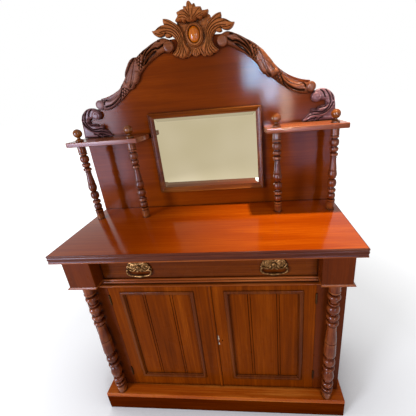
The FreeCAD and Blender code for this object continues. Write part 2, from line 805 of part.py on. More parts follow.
def cross_hole(x, y, z, sides=8):
    """Bore for the bail's pin, along X through a post."""
    r = bail_pin_radius + bail_pin_clear
    ring = [Vec(x - post_radius - 1, y + r * math.cos(2 * math.pi * k / sides),
                z + r * math.sin(2 * math.pi * k / sides)) for k in range(sides)]
    return facet(ring).extrude(Vec(2 * post_radius + 2, 0, 0))


def bail(x, y):
    """Swan-neck bail hanging from pins in the two posts."""
    half = bail_span / 2
    reach = half + post_radius + 3.0
    drop = bail_drop
    right = [(half - 3.0, 0.0), (reach - 2.0, 0.0), (reach + 1.0, -3.0), (reach + 2.0, -12.0),
             (reach - 4.0, -0.62 * drop), (half * 0.62, -0.92 * drop), (half * 0.3, -drop * 0.97)]
    path = [(-px, pz) for px, pz in right] + [(0.0, -drop)] + [(px, pz) for px, pz in reversed(right)]
    thick = [bail_pin_radius] * 2 + [bail_radius] * 4 + [bail_radius * 1.2, bail_swell]
    thick = thick + thick[-2::-1]
    sections = []
    for (px, pz), (nx, nz), r in zip(path, normals(path), thick):
        ring = []
        for k in range(bail_sides):
            angle = 2 * math.pi * (k + 0.5) / bail_sides
            u, v = r * math.cos(angle), r * math.sin(angle)
            ring.append(Vec(x + px + nx * u, y + v, handle_height + pz + nz * u))
        sections.append(ring)
    return carved(sections)


# ---------------------------------------------------------------- mirror
def mirror():
    x1, z0 = mirror_width / 2, mirror_bottom
    z1 = z0 + mirror_height
    w, d, lap = frame_width, frame_depth, frame_lap
    y_glass = y_panel - mirror_backing_thickness - glass_thickness
    # a rebate behind the lap takes the glass and its backing
    moulded = [(0.0, 0.0), (0.0, 0.6), (0.08, 0.78), (0.19, 0.97), (0.35, 1.0), (0.5, 0.93), (0.62, 0.7),
               (0.77, 0.62), (0.88, 0.66), (1.0, 0.55)]
    profile = [(u * w, y_panel - v * d) for u, v in moulded]
    profile += [(w, y_glass), (w - lap, y_glass), (w - lap, y_panel)]
    save("mirror_frame", mitred_frame(-x1, x1, z0, z1, w, profile, y_panel - d, y_panel))

    inset = w - lap + glass_clear
    gx, g0, g1 = x1 - inset, z0 + inset, z1 - inset
    y_edge, y_rear_glass = y_glass + bevel_depth, y_glass + glass_thickness
    b = glass_bevel
    outer = [(-gx, g0), (gx, g0), (gx, g1), (-gx, g1)]
    inner = [(-gx + b, g0 + b), (gx - b, g0 + b), (gx - b, g1 - b), (-gx + b, g1 - b)]
    rings = ((y_rear_glass, outer), (y_edge, outer), (y_glass, inner))
    save("mirror_glass", carved([[Vec(x, y, z) for x, z in ring] for y, ring in rings]))
    save("mirror_backing", box(-gx, gx, y_rear_glass, y_panel, g0, g1))


# ---------------------------------------------------------------- arched back and its carving
half_panel = half_top - panel_side_inset
scroll_inner = (scroll_inner_across, side_shelf_top + scroll_inner_rise)
scroll_outer = (half_panel - scroll_outer_inset, side_shelf_top + scroll_outer_rise)


def arc_edge(points):
    return Part.Arc(*[Vec(x, 0, z) for x, z in points]).toShape()


def scroll_arcs(offset):
    """The two arcs of the S line, moved outwards by an offset: three (x, z) points each."""
    (x0, z0), (x2, z2) = scroll_inner, scroll_outer
    x1, z1 = x0 + (x2 - x0) * shoulder_across, z0 + (z2 - z0) * shoulder_down
    arcs = []
    for (ax, az), (bx, bz), side in (((x0, z0), (x1, z1), 1), ((x1, z1), (x2, z2), -1)):
        length = math.hypot(bx - ax, bz - az)
        nx, nz = -(bz - az) / length, (bx - ax) / length
        rise = side * scroll_bow * length
        radius = (length * length / 4 + rise * rise) / (2 * rise)
        cx, cz = (ax + bx) / 2 + nx * (rise - radius), (az + bz) / 2 + nz * (rise - radius)
        middle = ((ax + bx) / 2 + nx * rise, (az + bz) / 2 + nz * rise)
        k = 1 + offset / radius
        arcs.append([(cx + (px - cx) * k, cz + (pz - cz) * k) for px, pz in ((ax, az), middle, (bx, bz))])
    arcs[1][0] = arcs[0][2]
    return arcs


def scroll():
    """S-shaped moulding with a volute at each end and leaves that spring over its upper edge."""
    path = []
    for points in scroll_arcs(0.0):
        path += [(p.x, p.z) for p in arc_edge(points).discretize(Number=6)]
    del path[6]
    count, relief, width = len(path), carving_relief, scroll_width
    outwards = normals(path)

    def over(i, share):
        """Point i of the line, moved outwards by a share of the width."""
        (x, z), (nx, nz) = path[i], outwards[i]
        return (x + nx * share * width, z + nz * share * width)

    widths = swelling(count, width * 0.86, width, width * 0.78, shoulder_across)
    body = leaf(path, widths, swelling(count, relief * 0.85, relief, relief * 0.75), y_panel, GROOVED)
    pieces = [volute(x, z, y_panel, volute_radius, relief + 2.0) for x, z in (path[0], path[-1])]
    for root, start, tip in ((1, -0.3, 0.46), (3, -0.25, 0.56), (6, -0.3, 0.42)):
        steps = [over(root + k, start + (tip - start) * k / 3) for k in range(4)]
        spread = swelling(5, width * 0.2, width * 0.42, width * 0.08, 0.6)
        rise = swelling(5, relief * 0.7, relief * 1.2, relief * 0.6)
        pieces.append(leaf(smooth_points(steps, 5), spread, rise, y_panel))
    return fused(body, pieces)


def corner_scroll():
    """C-scroll that stands on the side shelf: an outer moulding that rolls into a volute, and leaves."""
    w, h = corner_scroll_width, corner_scroll_height
    relief, rim = carving_relief + 2.0, corner_rim

    def at(points):
        """Points given inwards from the panel's end and up from the shelf, as shares of width and height."""
        return [(half_panel - u * w, side_shelf_top + v * h) for u, v in points]

    outline = at([(0.05, 0.0), (0.10, 0.48), (0.15, 0.67), (0.23, 0.83), (0.33, 0.94), (0.46, 1.0),
                  (0.55, 0.99), (0.68, 0.92), (0.54, 0.74), (0.46, 0.64), (0.43, 0.53), (0.47, 0.44),
                  (0.63, 0.44), (0.77, 0.37), (0.79, 0.26), (0.89, 0.16), (1.0, 0.02), (1.0, 0.0)])
    body = section_xz(outline, y_panel - relief * 0.5, y_panel)
    roll = at([(0.15, 0.0), (0.20, 0.33), (0.25, 0.58), (0.36, 0.79), (0.50, 0.87), (0.64, 0.84)])
    pieces = [leaf(smooth_points(roll, 8), swelling(8, rim, rim, rim * 0.7),
                   swelling(8, relief * 0.8, relief, relief * 0.8), y_panel, GROOVED)]
    low = smooth_points(at([(0.26, 0.42), (0.42, 0.28), (0.64, 0.22), (0.84, 0.12), (0.99, 0.02)]), 7)
    pieces.append(leaf(low, swelling(7, rim, rim * 0.9, rim * 0.15, 0.35),
                       swelling(7, relief * 0.7, relief * 0.9, relief * 0.3), y_panel, GROOVED))
    curl = smooth_points(at([(0.28, 0.58), (0.42, 0.43), (0.58, 0.38), (0.74, 0.37)]), 5)
    pieces.append(leaf(curl, swelling(5, rim * 0.7, rim * 0.55, rim * 0.18, 0.4),
                       swelling(5, relief * 0.7, relief, relief * 0.45), y_panel))
    (x, z), = at([(0.68, 0.75)])
    pieces.append(volute(x, z, y_panel, volute_radius, relief + 2.0))
    body = fused(body, pieces)
    shelf = box(half_panel - 1.5 * w, half_panel + w, y_panel - w, y_panel + 1,
                side_shelf_top - h, side_shelf_top)
    return one_solid(body.cut(shelf))


def back_panel():
    """Arched panel that follows the carving a little inside its edge."""
    x, z = half_panel, side_shelf_top
    w, h = corner_scroll_width, corner_scroll_height

    def at(u, v):
        """Point inwards from the panel's end and up from the shelf, as shares of the corner scroll."""
        return (x - u * w, z + v * h)

    foot, side, shoulder = at(0.02, 0.0), at(0.14, 0.52), at(0.54, 0.95)
    arcs = scroll_arcs(scroll_width / 2 - panel_margin)
    arcs += [[foot, at(0.1, 0.29), side], [side, at(0.275, 0.81), shoulder]]
    start, valley = arcs[0][0], arcs[1][2]
    edges = [arc_edge(points) for points in arcs]
    below = [(0.0, base_height), (x, base_height), (x, z), foot]
    dip = [shoulder, at(0.65, 0.935), valley]
    above = [start, (0.0, start[1] + panel_margin), (0.0, base_height)]
    for line in (below, dip, above):
        for a, b in zip(line, line[1:]):
            edges.append(Part.LineSegment(Vec(a[0], 0, a[1]), Vec(b[0], 0, b[1])).toShape())
    right = Part.Face(Part.Wire(Part.__sortEdges__(edges))).extrude(Vec(0, board, 0))
    right.translate(Vec(0, y_panel, 0))
    save("back_panel", one_solid(right.fuse(mirrored(right))))


def crest():
    """Cartouche with leaf sprays, its raised oval rim, and the leaf above it."""
    z0 = cabochon_centre
    w, h = cartouche_half_width, cartouche_half_height

    def at(points):
        """Points given from the oval's centre, as shares of the cartouche's half width and height."""
        return [(u * w, z0 + v * h) for u, v in points]

    right = [(0.0, -0.96), (0.27, -0.98), (0.47, -0.87), (0.58, -0.66), (0.62, -0.2), (0.6, 0.25),
             (0.5, 0.62), (0.3, 0.82), (0.0, 0.89)]
    left = [(-u, v) for u, v in reversed(right[1:-1])]
    plate = section_xz(at(right + left), y_panel - cartouche_thickness, y_panel)
    y0 = y_panel - cartouche_thickness / 2
    rise = cartouche_relief - cartouche_thickness / 2
    sprays = [
        ([(0.3, -0.84), (0.42, -0.43), (0.43, 0.08), (0.44, 0.45), (0.47, 0.72)], 1.0),
        ([(0.4, -0.84), (0.54, -0.4), (0.57, 0.1), (0.62, 0.52), (0.7, 0.86)], 1.25),
        ([(0.5, -0.8), (0.63, -0.4), (0.69, 0.02), (0.81, 0.3), (1.0, 0.38)], 1.5),
        ([(0.54, -0.72), (0.66, -0.5), (0.76, -0.22), (0.85, -0.03), (0.94, 0.08)], 1.0),
    ]
    pieces = []
    for points, share in sprays:
        path, width = smooth_points(at(points), 7), spray_width * share
        widths = swelling(7, width * 0.5, width, width * 0.08, 0.6)
        pieces.append(leaf(path, widths, swelling(7, rise * 0.6, rise, rise * 0.45, 0.6), y0))
    for u, v in ((0.2, -1.01), (0.39, -0.94)):
        path = smooth_points(at([(u * 0.62, -0.48), (u * 0.9, -0.78), (u, v)]), 4)
        widths = swelling(4, spray_width * 0.54, spray_width, spray_width * 0.4, 0.7)
        pieces.append(leaf(path, widths, swelling(4, rise * 0.5, rise * 0.8, rise * 0.2), y0))
    pieces += [mirrored(p) for p in pieces]
    drop = at([(0.0, -0.5), (0.0, -0.7), (0.0, -0.86), (0.0, -1.02)])
    widths = [spray_width * 0.54, spray_width * 0.85, spray_width, spray_width * 0.4]
    pieces.append(leaf(drop, widths, [rise * 0.5, rise * 0.8, rise * 0.7, rise * 0.2], y0))

    a, b, r = cabochon_half_width, cabochon_half_height, rim_width
    y_rim = y_panel - cartouche_relief
    y_well = y_panel - cartouche_thickness
    rim = [oval(a + r, b + r, z0, y_panel), oval(a + r, b + r, z0, y_rim + r / 3),
           oval(a + r * 0.6, b + r * 0.6, z0, y_rim)]
    well = [oval(a, b, z0, y_well), oval(a, b, z0, y_rim + r / 4), oval(a + r / 3, b + r / 3, z0, y_rim - r)]
    body = fused(plate, pieces + [carved(rim)])
    body = one_solid(body.cut(carved(well)))
    save("crest_cartouche", body)

    dome = []
    for t in (0.0, 0.35, 0.65, 0.88):
        k = math.sqrt(1 - t * t)
        dome.append(oval((a - boss_clear) * k, (b - boss_clear) * k, z0, y_well - cabochon_rise * t))
    save("cabochon", carved(dome))

    top = crest_leaf_height
    root = z0 + b + r
    lobes = []
    for u, v in ((0.0, 1.0), (0.53, 0.75), (0.92, 0.5), (1.0, 0.14)):
        path = smooth_points([(0.0, root), (u * top * 0.5, root + top * (v * 0.5 + u * 0.1)),
                              (u * top, root + v * top)], 5)
        lobes.append(leaf(path, swelling(5, top * 0.22, top * 0.47, top * 0.08, 0.6),
                          swelling(5, cabochon_rise, cabochon_rise * 1.25, cabochon_rise * 0.4), y_well))
    lobes += [mirrored(lobe) for lobe in lobes[1:]]
    above_rim = box(-w, w, y_well - w, y_well + 1, root + carving_clear, root + 2 * top)
    save("crest_leaf", one_solid(fused(lobes[0], lobes[1:]).common(above_rim)))
    return body


def carvings():
    cartouche = crest()
    right = one_solid(scroll().cut(cartouche))
    save("scroll_right", right)
    save("scroll_left", mirrored(right))
    corner = corner_scroll()
    save("corner_scroll_right", corner)
    save("corner_scroll_left", mirrored(corner))


# ---------------------------------------------------------------- side shelves, spindles, finials
def spindle_profile(height):
    """Turned spindle from the foot up, as (radius, height) pairs; the vase takes up the length."""
    r = spindle_radius
    waist = r * 0.57
    below = [(r * 0.87, r * 1.95), (r * 0.95, r * 0.3), (waist, r * 0.42)] + ball(waist, r * 0.92, r * 1.5)
    below += [(waist, r * 0.15), (r * 0.95, r * 0.4), (waist, r * 0.62)] + ball(waist, r, r * 2.05)
    below += [(r * 0.62, r * 0.1), (r * 0.97, r * 0.7)]
    above = [(r * 0.58, r * 0.67), (r * 0.93, r * 0.25), (r * 0.58, r * 0.3), (r * 0.58, r * 0.62)]
    above += [(r * 0.95, r * 0.4), (r * 0.62, r * 0.3), (r * 0.62, r * 0.3)] + ball(r * 0.62, r, r * 1.65)
    above += [(r * 0.95, r * 0.4), (r * 0.95, r * 0.35), (r * 0.8, r * 0.1), (r * 0.95, r * 0.15)]
    above += [(r * 0.9, r * 0.3)]
    vase = height - rises(below) - rises(above) - r * 1.23
    vase_steps = [(r * 0.92, vase * 0.2), (r * 0.64, vase * 0.8)]
    return stacked(r * 0.87, below + vase_steps + above) + [(r * 0.9, height)]


def finial_profile():
    """Ball on a waisted neck over a flared foot."""
    b, n, f, h = finial_ball, finial_neck, finial_foot, finial_foot_height
    steps = [(f, h * 0.28), (f * 0.75, h * 0.22), (n, h * 0.5), (n, h * 0.12)]
    steps += [(b * 0.8, b * 0.32), (b, b * 0.58), (b * 0.8, b * 0.58), (b * 0.3, b * 0.42)]
    return stacked(f, steps)


def superstructure():
    z0, z1 = side_shelf_top - side_shelf_thickness, side_shelf_top
    inner, outer = mirror_width / 2 + side_shelf_clear, half_top + side_shelf_overhang
    y0 = y_panel - side_shelf_depth
    splay, middle = side_shelf_splay, (y0 + y_panel) / 2
    end = Part.Arc(Vec(inner, y_panel, z0), Vec(inner + splay / 2 - side_shelf_bulge, middle, z0),
                   Vec(inner + splay, y0, z0)).toShape()
    sides = [(inner + splay, y0), (outer, y0), (outer, y_panel), (inner, y_panel)]
    edges = [end] + Part.makePolygon([Vec(x, y, z0) for x, y in sides]).Edges
    shelf = Part.Face(Part.Wire(edges)).extrude(Vec(0, 0, side_shelf_thickness))
    corner = [e for e in shelf.Edges if e.BoundBox.ZLength > 0.5 * side_shelf_thickness
              and e.BoundBox.YMax < y0 + 0.01 and e.BoundBox.XMin > outer - 0.01]
    shelf = shelf.makeFillet(side_shelf_corner, corner)
    save("side_shelf_right", shelf)
    save("side_shelf_left", mirrored(shelf))
    y = y0 + spindle_setback
    spindles, finials = [], []
    for x in (inner + spindle_inset_inner, outer - spindle_inset_outer):
        spindles += both(turned(spindle_profile(z0 - base_height), x, y, base_height, spindle_sides))
        finials += both(turned(finial_profile(), x, y, z1, finial_sides))
    save("spindles", spindles)
    save("finials", finials)
    x0, x1 = (rear_upright_spacing - rear_upright_width) / 2, (rear_upright_spacing + rear_upright_width) / 2
    foot = base_height - rear_upright_lap
    save("rear_uprights", both(box(x0, x1, y_back, y_rear, foot, foot + rear_upright_length)))


plinth()
base_board()
carcass()
front_mouldings()
frieze_blocks()
columns()
top_board()
doors()
lock()
drawer()
handles()
mirror()
back_panel()
carvings()
superstructure()
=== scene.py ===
import json
import math

import bmesh
import bpy
import numpy as np
from mathutils import Matrix, Vector
from mathutils.geometry import delaunay_2d_cdt


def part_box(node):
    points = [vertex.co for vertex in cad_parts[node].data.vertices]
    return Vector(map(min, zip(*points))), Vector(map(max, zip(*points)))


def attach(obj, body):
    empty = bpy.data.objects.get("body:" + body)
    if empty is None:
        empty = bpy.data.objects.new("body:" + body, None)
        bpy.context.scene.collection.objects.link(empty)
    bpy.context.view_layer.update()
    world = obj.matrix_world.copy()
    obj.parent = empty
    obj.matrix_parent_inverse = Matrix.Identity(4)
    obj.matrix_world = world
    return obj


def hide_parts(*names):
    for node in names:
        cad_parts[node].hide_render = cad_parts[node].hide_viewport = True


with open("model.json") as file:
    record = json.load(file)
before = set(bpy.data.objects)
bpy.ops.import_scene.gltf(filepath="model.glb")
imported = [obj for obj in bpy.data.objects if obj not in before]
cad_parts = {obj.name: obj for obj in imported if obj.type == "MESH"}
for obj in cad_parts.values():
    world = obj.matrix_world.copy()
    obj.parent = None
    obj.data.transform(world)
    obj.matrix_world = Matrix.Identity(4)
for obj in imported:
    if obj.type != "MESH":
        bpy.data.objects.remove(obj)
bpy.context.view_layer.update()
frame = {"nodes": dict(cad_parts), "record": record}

# A mirror-back chiffonier in polished mahogany. Lengths in this script are millimetres, and
# piece() turns them into Blender's metres. Places come from the boxes of the construction's nodes.
MM = 0.001
NODE_BODY = {n: body for body, nodes in frame["record"]["behaviour"]["bodies"].items() for n in nodes}


def span(name):
    """(x0, x1, y0, y1, z0, z1) of a construction node in millimetres."""
    low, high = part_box(name)
    return tuple(v / MM for pair in zip(low, high) for v in pair)


# ------------------------------------------------------------------ material helpers
def colour(hex_code):
    """Linear colour of an sRGB hex value."""
    values = [int(hex_code[i:i + 2], 16) / 255 for i in (0, 2, 4)]
    return [v / 12.92 if v <= 0.04045 else ((v + 0.055) / 1.055) ** 2.4 for v in values] + [1.0]


def add(tree, kind, inputs=None, **settings):
    """Adds a shader node. Inputs are values, or the sockets that feed them."""
    new = tree.nodes.new("ShaderNode" + kind)
    for key, value in settings.items():
        setattr(new, key, value)
    for key, value in (inputs or {}).items():
        if isinstance(value, bpy.types.NodeSocket):
            tree.links.new(value, new.inputs[key])
        else:
            new.inputs[key].default_value = value
    return new


def blank(name):
    """A new material and its empty node tree."""
    material = bpy.data.materials.new(name)
    material.use_nodes = True
    material.node_tree.nodes.clear()
    return material, material.node_tree


def maths(tree, operation, a, b):
    """The sum, product or greater of two values."""
    return add(tree, "Math", {0: a, 1: b}, operation=operation).outputs["Value"]


def mapped(tree, value, low, high, to_low=0.0, to_high=1.0):
    """Maps a value's range low..high to another, and holds it at the ends."""
    return add(tree, "MapRange", {
        "Value": value, "From Min": low, "From Max": high, "To Min": to_low, "To Max": to_high,
    }).outputs["Result"]


def tinted(tree, base, share, hex_code):
    """A base colour with a share of another one over it."""
    return add(tree, "MixRGB", {"Fac": share, "Color1": base, "Color2": colour(hex_code)}).outputs["Color"]


def clouds(tree, place, size, detail, roughness=0.5, warp=0.0):
    """Soft clouds from 0 to 1, about a size in metres across."""
    return add(tree, "TexNoise", {
        "Vector": place, "Scale": 1 / size, "Detail": detail, "Roughness": roughness, "Distortion": warp,
    }).outputs["Fac"]


def openness(tree, reach, samples=6):
    """1 on open faces, and less where others close in within a reach in metres."""
    return add(tree, "AmbientOcclusion", {"Distance": reach}, samples=samples).outputs["AO"]


def ramp(tree, factor, stops):
    """Colour ramp from (place, hex colour) stops."""
    new = add(tree, "ValToRGB", {"Fac": factor})
    elements = new.color_ramp.elements
    while len(elements) < len(stops):
        elements.new(0.5)
    for element, (place, code) in zip(elements, stops):
        element.position = place
        element.color = colour(code)
    return new.outputs["Color"]


def surfaced(tree, inputs):
    """Gives the tree its surface, one principled shader."""
    shader = add(tree, "BsdfPrincipled", inputs)
    add(tree, "OutputMaterial", {"Surface": shader.outputs["BSDF"]})


# Widths and lengths of the wood's marks. Real mahogany has pores about 0.3 mm wide. They are drawn
# 2 mm wide, or they would not show.
PORE, STRIPE, FIGURE = (2.0, 60.0), (9.0, 480.0), (85.0, 620.0)
PORE_SHADE, PORE_DEPTH = 0.45, 0.6
# Lengths across the clouds of handling: rubbed spots on the arrises, which also carry a painted highlight,
# and smears in the polish.
RUBBED_SPOT, SMEAR = 30.0, 90.0
# Share by which rubbed arrises are lightened: wear, and a painted highlight on the ridges.
WEAR_AND_HIGHLIGHT = 0.45
# The ranges in which a tone, a pore, an arris (its wear and painted highlight), a rubbed spot and a hollow's
# painted shade go from none to full.
TONES, PORES, ARRISES, RUBBED, PAINTED_SHADE_RANGE = (0.62, 1.38), (0.52, 0.30), (0.505, 0.56), (0.3, 0.6), (0.9, 0.4)
# A painted sheen greys the carving, from the first of these places to the second, in metres across.
SHEEN_REACH, SHEEN_SHARE = (-0.24, -0.45), 0.5


def mahogany(name, dark, mid, light, along, roughness, specular=0.3, hollows="1a0904", shade_reach=14.0,
             shade_depth=0.8, worn="", bump=0.06, painted_sheen=""):
    """Cuban mahogany, stained and French polished: stripes and pores run along one axis. Painted shade
    darkens the hollows, pointy arrises in rubbed spots are lightened for wear and as a painted highlight, and
    a painted sheen can grey the wood towards the left."""
    material, tree = blank(name)
    place = add(tree, "TexCoord").outputs["Object"]

    def grain(mark, detail, rough, warp=0.0):
        width, length = mark
        scale = [1 / (width * MM)] * 3
        scale["xyz".index(along)] = 1 / (length * MM)
        stretched = add(tree, "Mapping", {"Vector": place, "Scale": scale}).outputs["Vector"]
        return clouds(tree, stretched, 1.0, detail, rough, warp)

    pores = grain(PORE, 2.0, 0.5)
    tone = maths(tree, "ADD", grain(STRIPE, 4.0, 0.6, 0.25), grain(FIGURE, 2.0, 0.5, 0.6))
    base = ramp(tree, mapped(tree, tone, *TONES), [(0.0, dark), (0.5, mid), (1.0, light)])
    base = tinted(tree, base, maths(tree, "MULTIPLY", mapped(tree, pores, *PORES), PORE_SHADE), dark)
    # wear and painted highlight: pointy arrises in rubbed spots are lightened towards a paler colour
    if worn:
        arris = mapped(tree, add(tree, "NewGeometry").outputs["Pointiness"], *ARRISES)
        rubbed = mapped(tree, clouds(tree, place, RUBBED_SPOT * MM, 3.0), *RUBBED)
        rubbed = maths(tree, "MULTIPLY", maths(tree, "MULTIPLY", arris, rubbed), WEAR_AND_HIGHLIGHT)
        base = tinted(tree, base, rubbed, worn)
    # painted sheen: the wood is greyed towards the left, standing for reflected light in the wax
    if painted_sheen:
        across = add(tree, "SeparateXYZ", {"Vector": place}).outputs["X"]
        sheen_mask = maths(tree, "MULTIPLY", mapped(tree, across, *SHEEN_REACH), SHEEN_SHARE)
        base = tinted(tree, base, sheen_mask, painted_sheen)
    # painted shade: where ambient occlusion finds other faces close by, the colour is darkened towards the
    # hollows colour
    if shade_depth:
        painted_shade = mapped(tree, openness(tree, shade_reach * MM), *PAINTED_SHADE_RANGE)
        base = tinted(tree, base, maths(tree, "MULTIPLY", painted_shade, shade_depth), hollows)
    smears = clouds(tree, place, SMEAR * MM, 4.0)
    dull = mapped(tree, smears, 0.3, 0.7, roughness * 0.8, roughness * 1.25)
    open_pores = add(tree, "Bump", {"Height": pores, "Strength": bump, "Distance": PORE_DEPTH * MM})
    surfaced(tree, {"Base Color": base, "Roughness": dull, "Normal": open_pores.outputs["Normal"], "IOR": 1.5,
                    "Specular IOR Level": specular})
    return material


def metal(name, dark, mid, light, roughness, patina, metallic=1.0):
    """Metal with patina in its hollows and bare high places."""
    material, tree = blank(name)
    place = add(tree, "TexCoord").outputs["Object"]
    spots = clouds(tree, place, 9 * MM, 4.0)
    base = ramp(tree, spots, [(0.3, dark), (0.5, mid), (0.72, light)])
    base = tinted(tree, base, mapped(tree, openness(tree, 3.5 * MM), 0.9, 0.3), patina)
    dull = mapped(tree, spots, 0.3, 0.7, roughness * 0.8, roughness * 1.3)
    surfaced(tree, {"Base Color": base, "Roughness": dull, "Metallic": metallic})
    return material


def silvered_glass():
    """Old plate mirror: a clean polished face, its base tinted warm cream as a painted reflection of a room.
    """
    material, tree = blank("silvered_plate_glass")
    cloud = clouds(tree, add(tree, "TexCoord").outputs["Object"], 260 * MM, 1.0)
    # painted reflection: the cream tint stands for the room the mirror shows
    base = ramp(tree, cloud, [(0.35, "aea282"), (0.65, "b7ab8e")])
    surfaced(tree, {"Base Color": base, "Metallic": 1.0, "Roughness": 0.02})
    return material


# ------------------------------------------------------------------ materials
# Every wood below but the amber boss gets painted shade in its hollows from mahogany().
# Wide polished boards of the back: even red-brown, grain along X, a soft sheen.
back_wood = mahogany("mahogany_back_board", "5c2403", "6e2b02", "803604", "x", 0.115, specular=0.04)
# The cupboard top: the brightest figure and the highest gloss, rubbed with wax for years.
top_wood = mahogany("mahogany_waxed_top", "8a3002", "9a3c02", "b25006", "x", 0.12, specular=0.2)
# The dark moulded edge of the top, with painted shade in its hollows.
edge_wood = mahogany("mahogany_dark_moulding", "36160e", "58291a", "723e28", "x", 0.2, specular=0.06)
# Doors: golden brown, grain upright, an old soft polish, and a deep painted shade in their grooves and
# corners.
door_wood = mahogany("mahogany_door_board", "562202", "722f01", "8e4206", "z", 0.3, specular=0.02,
                     hollows="120400", shade_reach=20.0, shade_depth=1.0)
# Door mouldings: as the doors, with painted shade in the quirks.
door_moulding_wood = mahogany("mahogany_door_moulding", "421802", "5e2803", "783a08", "z", 0.2, specular=0.07,
                              hollows="160500", shade_reach=7.0, shade_depth=1.0)
# Posts and blocks beside the doors, redder.
post_wood = mahogany("mahogany_upright", "4c1c04", "5e2404", "6c2c06", "z", 0.3, specular=0.05)
# The drawer front and its rail, darker, grain along X.
frieze_wood = mahogany("mahogany_frieze", "481a02", "602803", "743606", "x", 0.26, specular=0.05)
# The beads under the drawer and the lip of the top, in a lighter orange brown that paints the highlights they
# catch.
bead_highlight_wood = mahogany("mahogany_bead_painted_highlight", "642808", "8a4212", "ae6430", "x", 0.18, specular=0.1)
# Plinth: brown-red, dull from mops and feet.
plinth_wood = mahogany("mahogany_plinth", "3e1200", "4e1800", "642600", "x", 0.4, specular=0.0)
# The ledge over the plinth: sanded by wear to an orange tone, and made lighter than the plinth as painted
# light on its top face.
ledge_wood = mahogany("mahogany_ledge_worn_and_painted_light", "823004", "aa4e0c", "d07a2c", "x", 0.28, specular=0.08)
# Turned work: cross grain takes the stain unevenly; the high rings are lightened to gold, as wear and as a
# painted highlight, and the grooves get a deep painted shade.
turned_wood = mahogany("mahogany_turned", "301004", "62250a", "8c4216", "z", 0.2, specular=0.17,
                       worn="b0642a", hollows="100301", shade_reach=18.0, shade_depth=1.0)
# The balls of the finials, rubbed to gold by dusting.
ball_wood = mahogany("mahogany_finial", "4a2206", "763a0c", "a2601c", "z", 0.14, specular=0.25,
                     hollows="100301")
# Side shelves: red-brown wood lightened by a painted sheen, grain along X.
shelf_wood = mahogany("mahogany_side_shelf", "6a3018", "8a4626", "a66842", "x", 0.2, specular=0.12)
# Scrolls on the shelves: greyed to mauve, a painted sheen of the light they reflect, with painted shade in
# the cuts.
corner_sheen_wood = mahogany("mahogany_corner_scroll", "482a28", "785052", "9c8088", "x", 0.3, specular=0.1,
                        hollows="140608", shade_reach=9.0, shade_depth=0.9)
# The mirror's frame: dark brown, polished.
frame_wood = mahogany("mahogany_mirror_frame", "4a1c06", "6c320c", "8e5018", "x", 0.2, specular=0.1)
# Hand-carved scrolls: painted shade in the cuts, and a painted sheen that greys them at the left end.
carved_wood = mahogany("mahogany_carved_scroll", "4e220e", "763f20", "a0603a", "x", 0.3, specular=0.09,
                       hollows="0e0402", shade_reach=11.0, shade_depth=0.95, bump=0.05, painted_sheen="7a6672")
# Carving of the crest: paler, with painted shade in its hollows.
crest_wood = mahogany("mahogany_carved_crest", "7c4420", "a45e2e", "c07c46", "x", 0.36, specular=0.04,
                      hollows="1e0c04", shade_reach=12.0, shade_depth=0.85, bump=0.05)
# The oval boss of the crest: clear amber polish over pale wood.
amber_wood = mahogany("mahogany_amber_boss", "963e04", "bc6006", "d8801c", "z", 0.1, specular=0.25,
                      shade_depth=0.0)
# Deal of the back, the runners and the drawer's inside, brown with age, sawn and planed but not polished.
pine_wood = mahogany("old_pine", "6a4a2a", "86623a", "a07c4e", "z", 0.6, hollows="2a1c10")
pine_across = mahogany("old_pine_across", "6a4a2a", "86623a", "a07c4e", "x", 0.6, hollows="2a1c10")
# Cast brass, lacquer gone, brown patina in the hollows.
cast_brass = metal("antique_cast_brass", "3e240d", "5c3e20", "8e683e", 0.36, "261408")
# Drawn brass of the hinges, brown with age.
drawn_brass = metal("drawn_brass", "2a1a0c", "3c2814", "54381c", 0.45, "1a1006")
# The lock's brass edge, rubbed bright by the key hand.
pale_brass = metal("rubbed_pale_brass", "b0a078", "d4c8a4", "f0e8d0", 0.35, "5a4a30", metallic=0.6)
# The lock's case and bolt: filed steel, oiled.
filed_steel = metal("filed_steel", "4a4642", "6a6660", "8c8882", 0.4, "241c16")
# The mirror's plate: glass silvered on its back, ground and polished.
mirror_silver = silvered_glass()


# ------------------------------------------------------------------ mesh helpers
def piece(name, skins, node, material, crease=32.0, soften=0.0, extra=False):
    """One object from (points, faces) skins in millimetres. It rides its node's body in the material it is
    given, and takes the node's place unless it is an extra."""
    points, faces = [], []
    for skin_points, skin_faces in skins:
        faces += [tuple(len(points) + i for i in face) for face in skin_faces]
        points += [Vector(p) * MM for p in skin_points]
    mesh = bpy.data.meshes.new(name)
    mesh.from_pydata(points, [], faces)
    work = bmesh.new()
    work.from_mesh(mesh)
    bmesh.ops.remove_doubles(work, verts=work.verts, dist=0.005 * MM)
    bmesh.ops.dissolve_degenerate(work, edges=work.edges, dist=0.002 * MM)
    bmesh.ops.recalc_face_normals(work, faces=work.faces)
    work.to_mesh(mesh)
    work.free()
    mesh.shade_smooth()
    mesh.set_sharp_from_angle(angle=math.radians(crease))
    mesh.materials.append(material)
    obj = bpy.data.objects.new(name, mesh)
    bpy.context.scene.collection.objects.link(obj)
    if soften:
        rounding = obj.modifiers.new("soft_arrises", "BEVEL")
        rounding.width = soften * MM
        rounding.segments = 2
        rounding.angle_limit = math.radians(30)
        rounding.harden_normals = True
    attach(obj, NODE_BODY[node])
    if not extra:
        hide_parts(node)


def softened(node, material, radius):
    """The node's own form with its arrises eased, as a scraper leaves them."""
    work = bmesh.new()
    work.from_mesh(frame["nodes"][node].data)
    bmesh.ops.remove_doubles(work, verts=work.verts, dist=0.001 * MM)
    bmesh.ops.dissolve_limit(work, angle_limit=math.radians(0.5), verts=work.verts, edges=work.edges)
    work.verts.index_update()
    points = [v.co / MM for v in work.verts]
    faces = [tuple(v.index for v in face.verts) for face in work.faces]
    work.free()
    piece(node + "_eased", [(points, faces)], node, material, soften=radius)


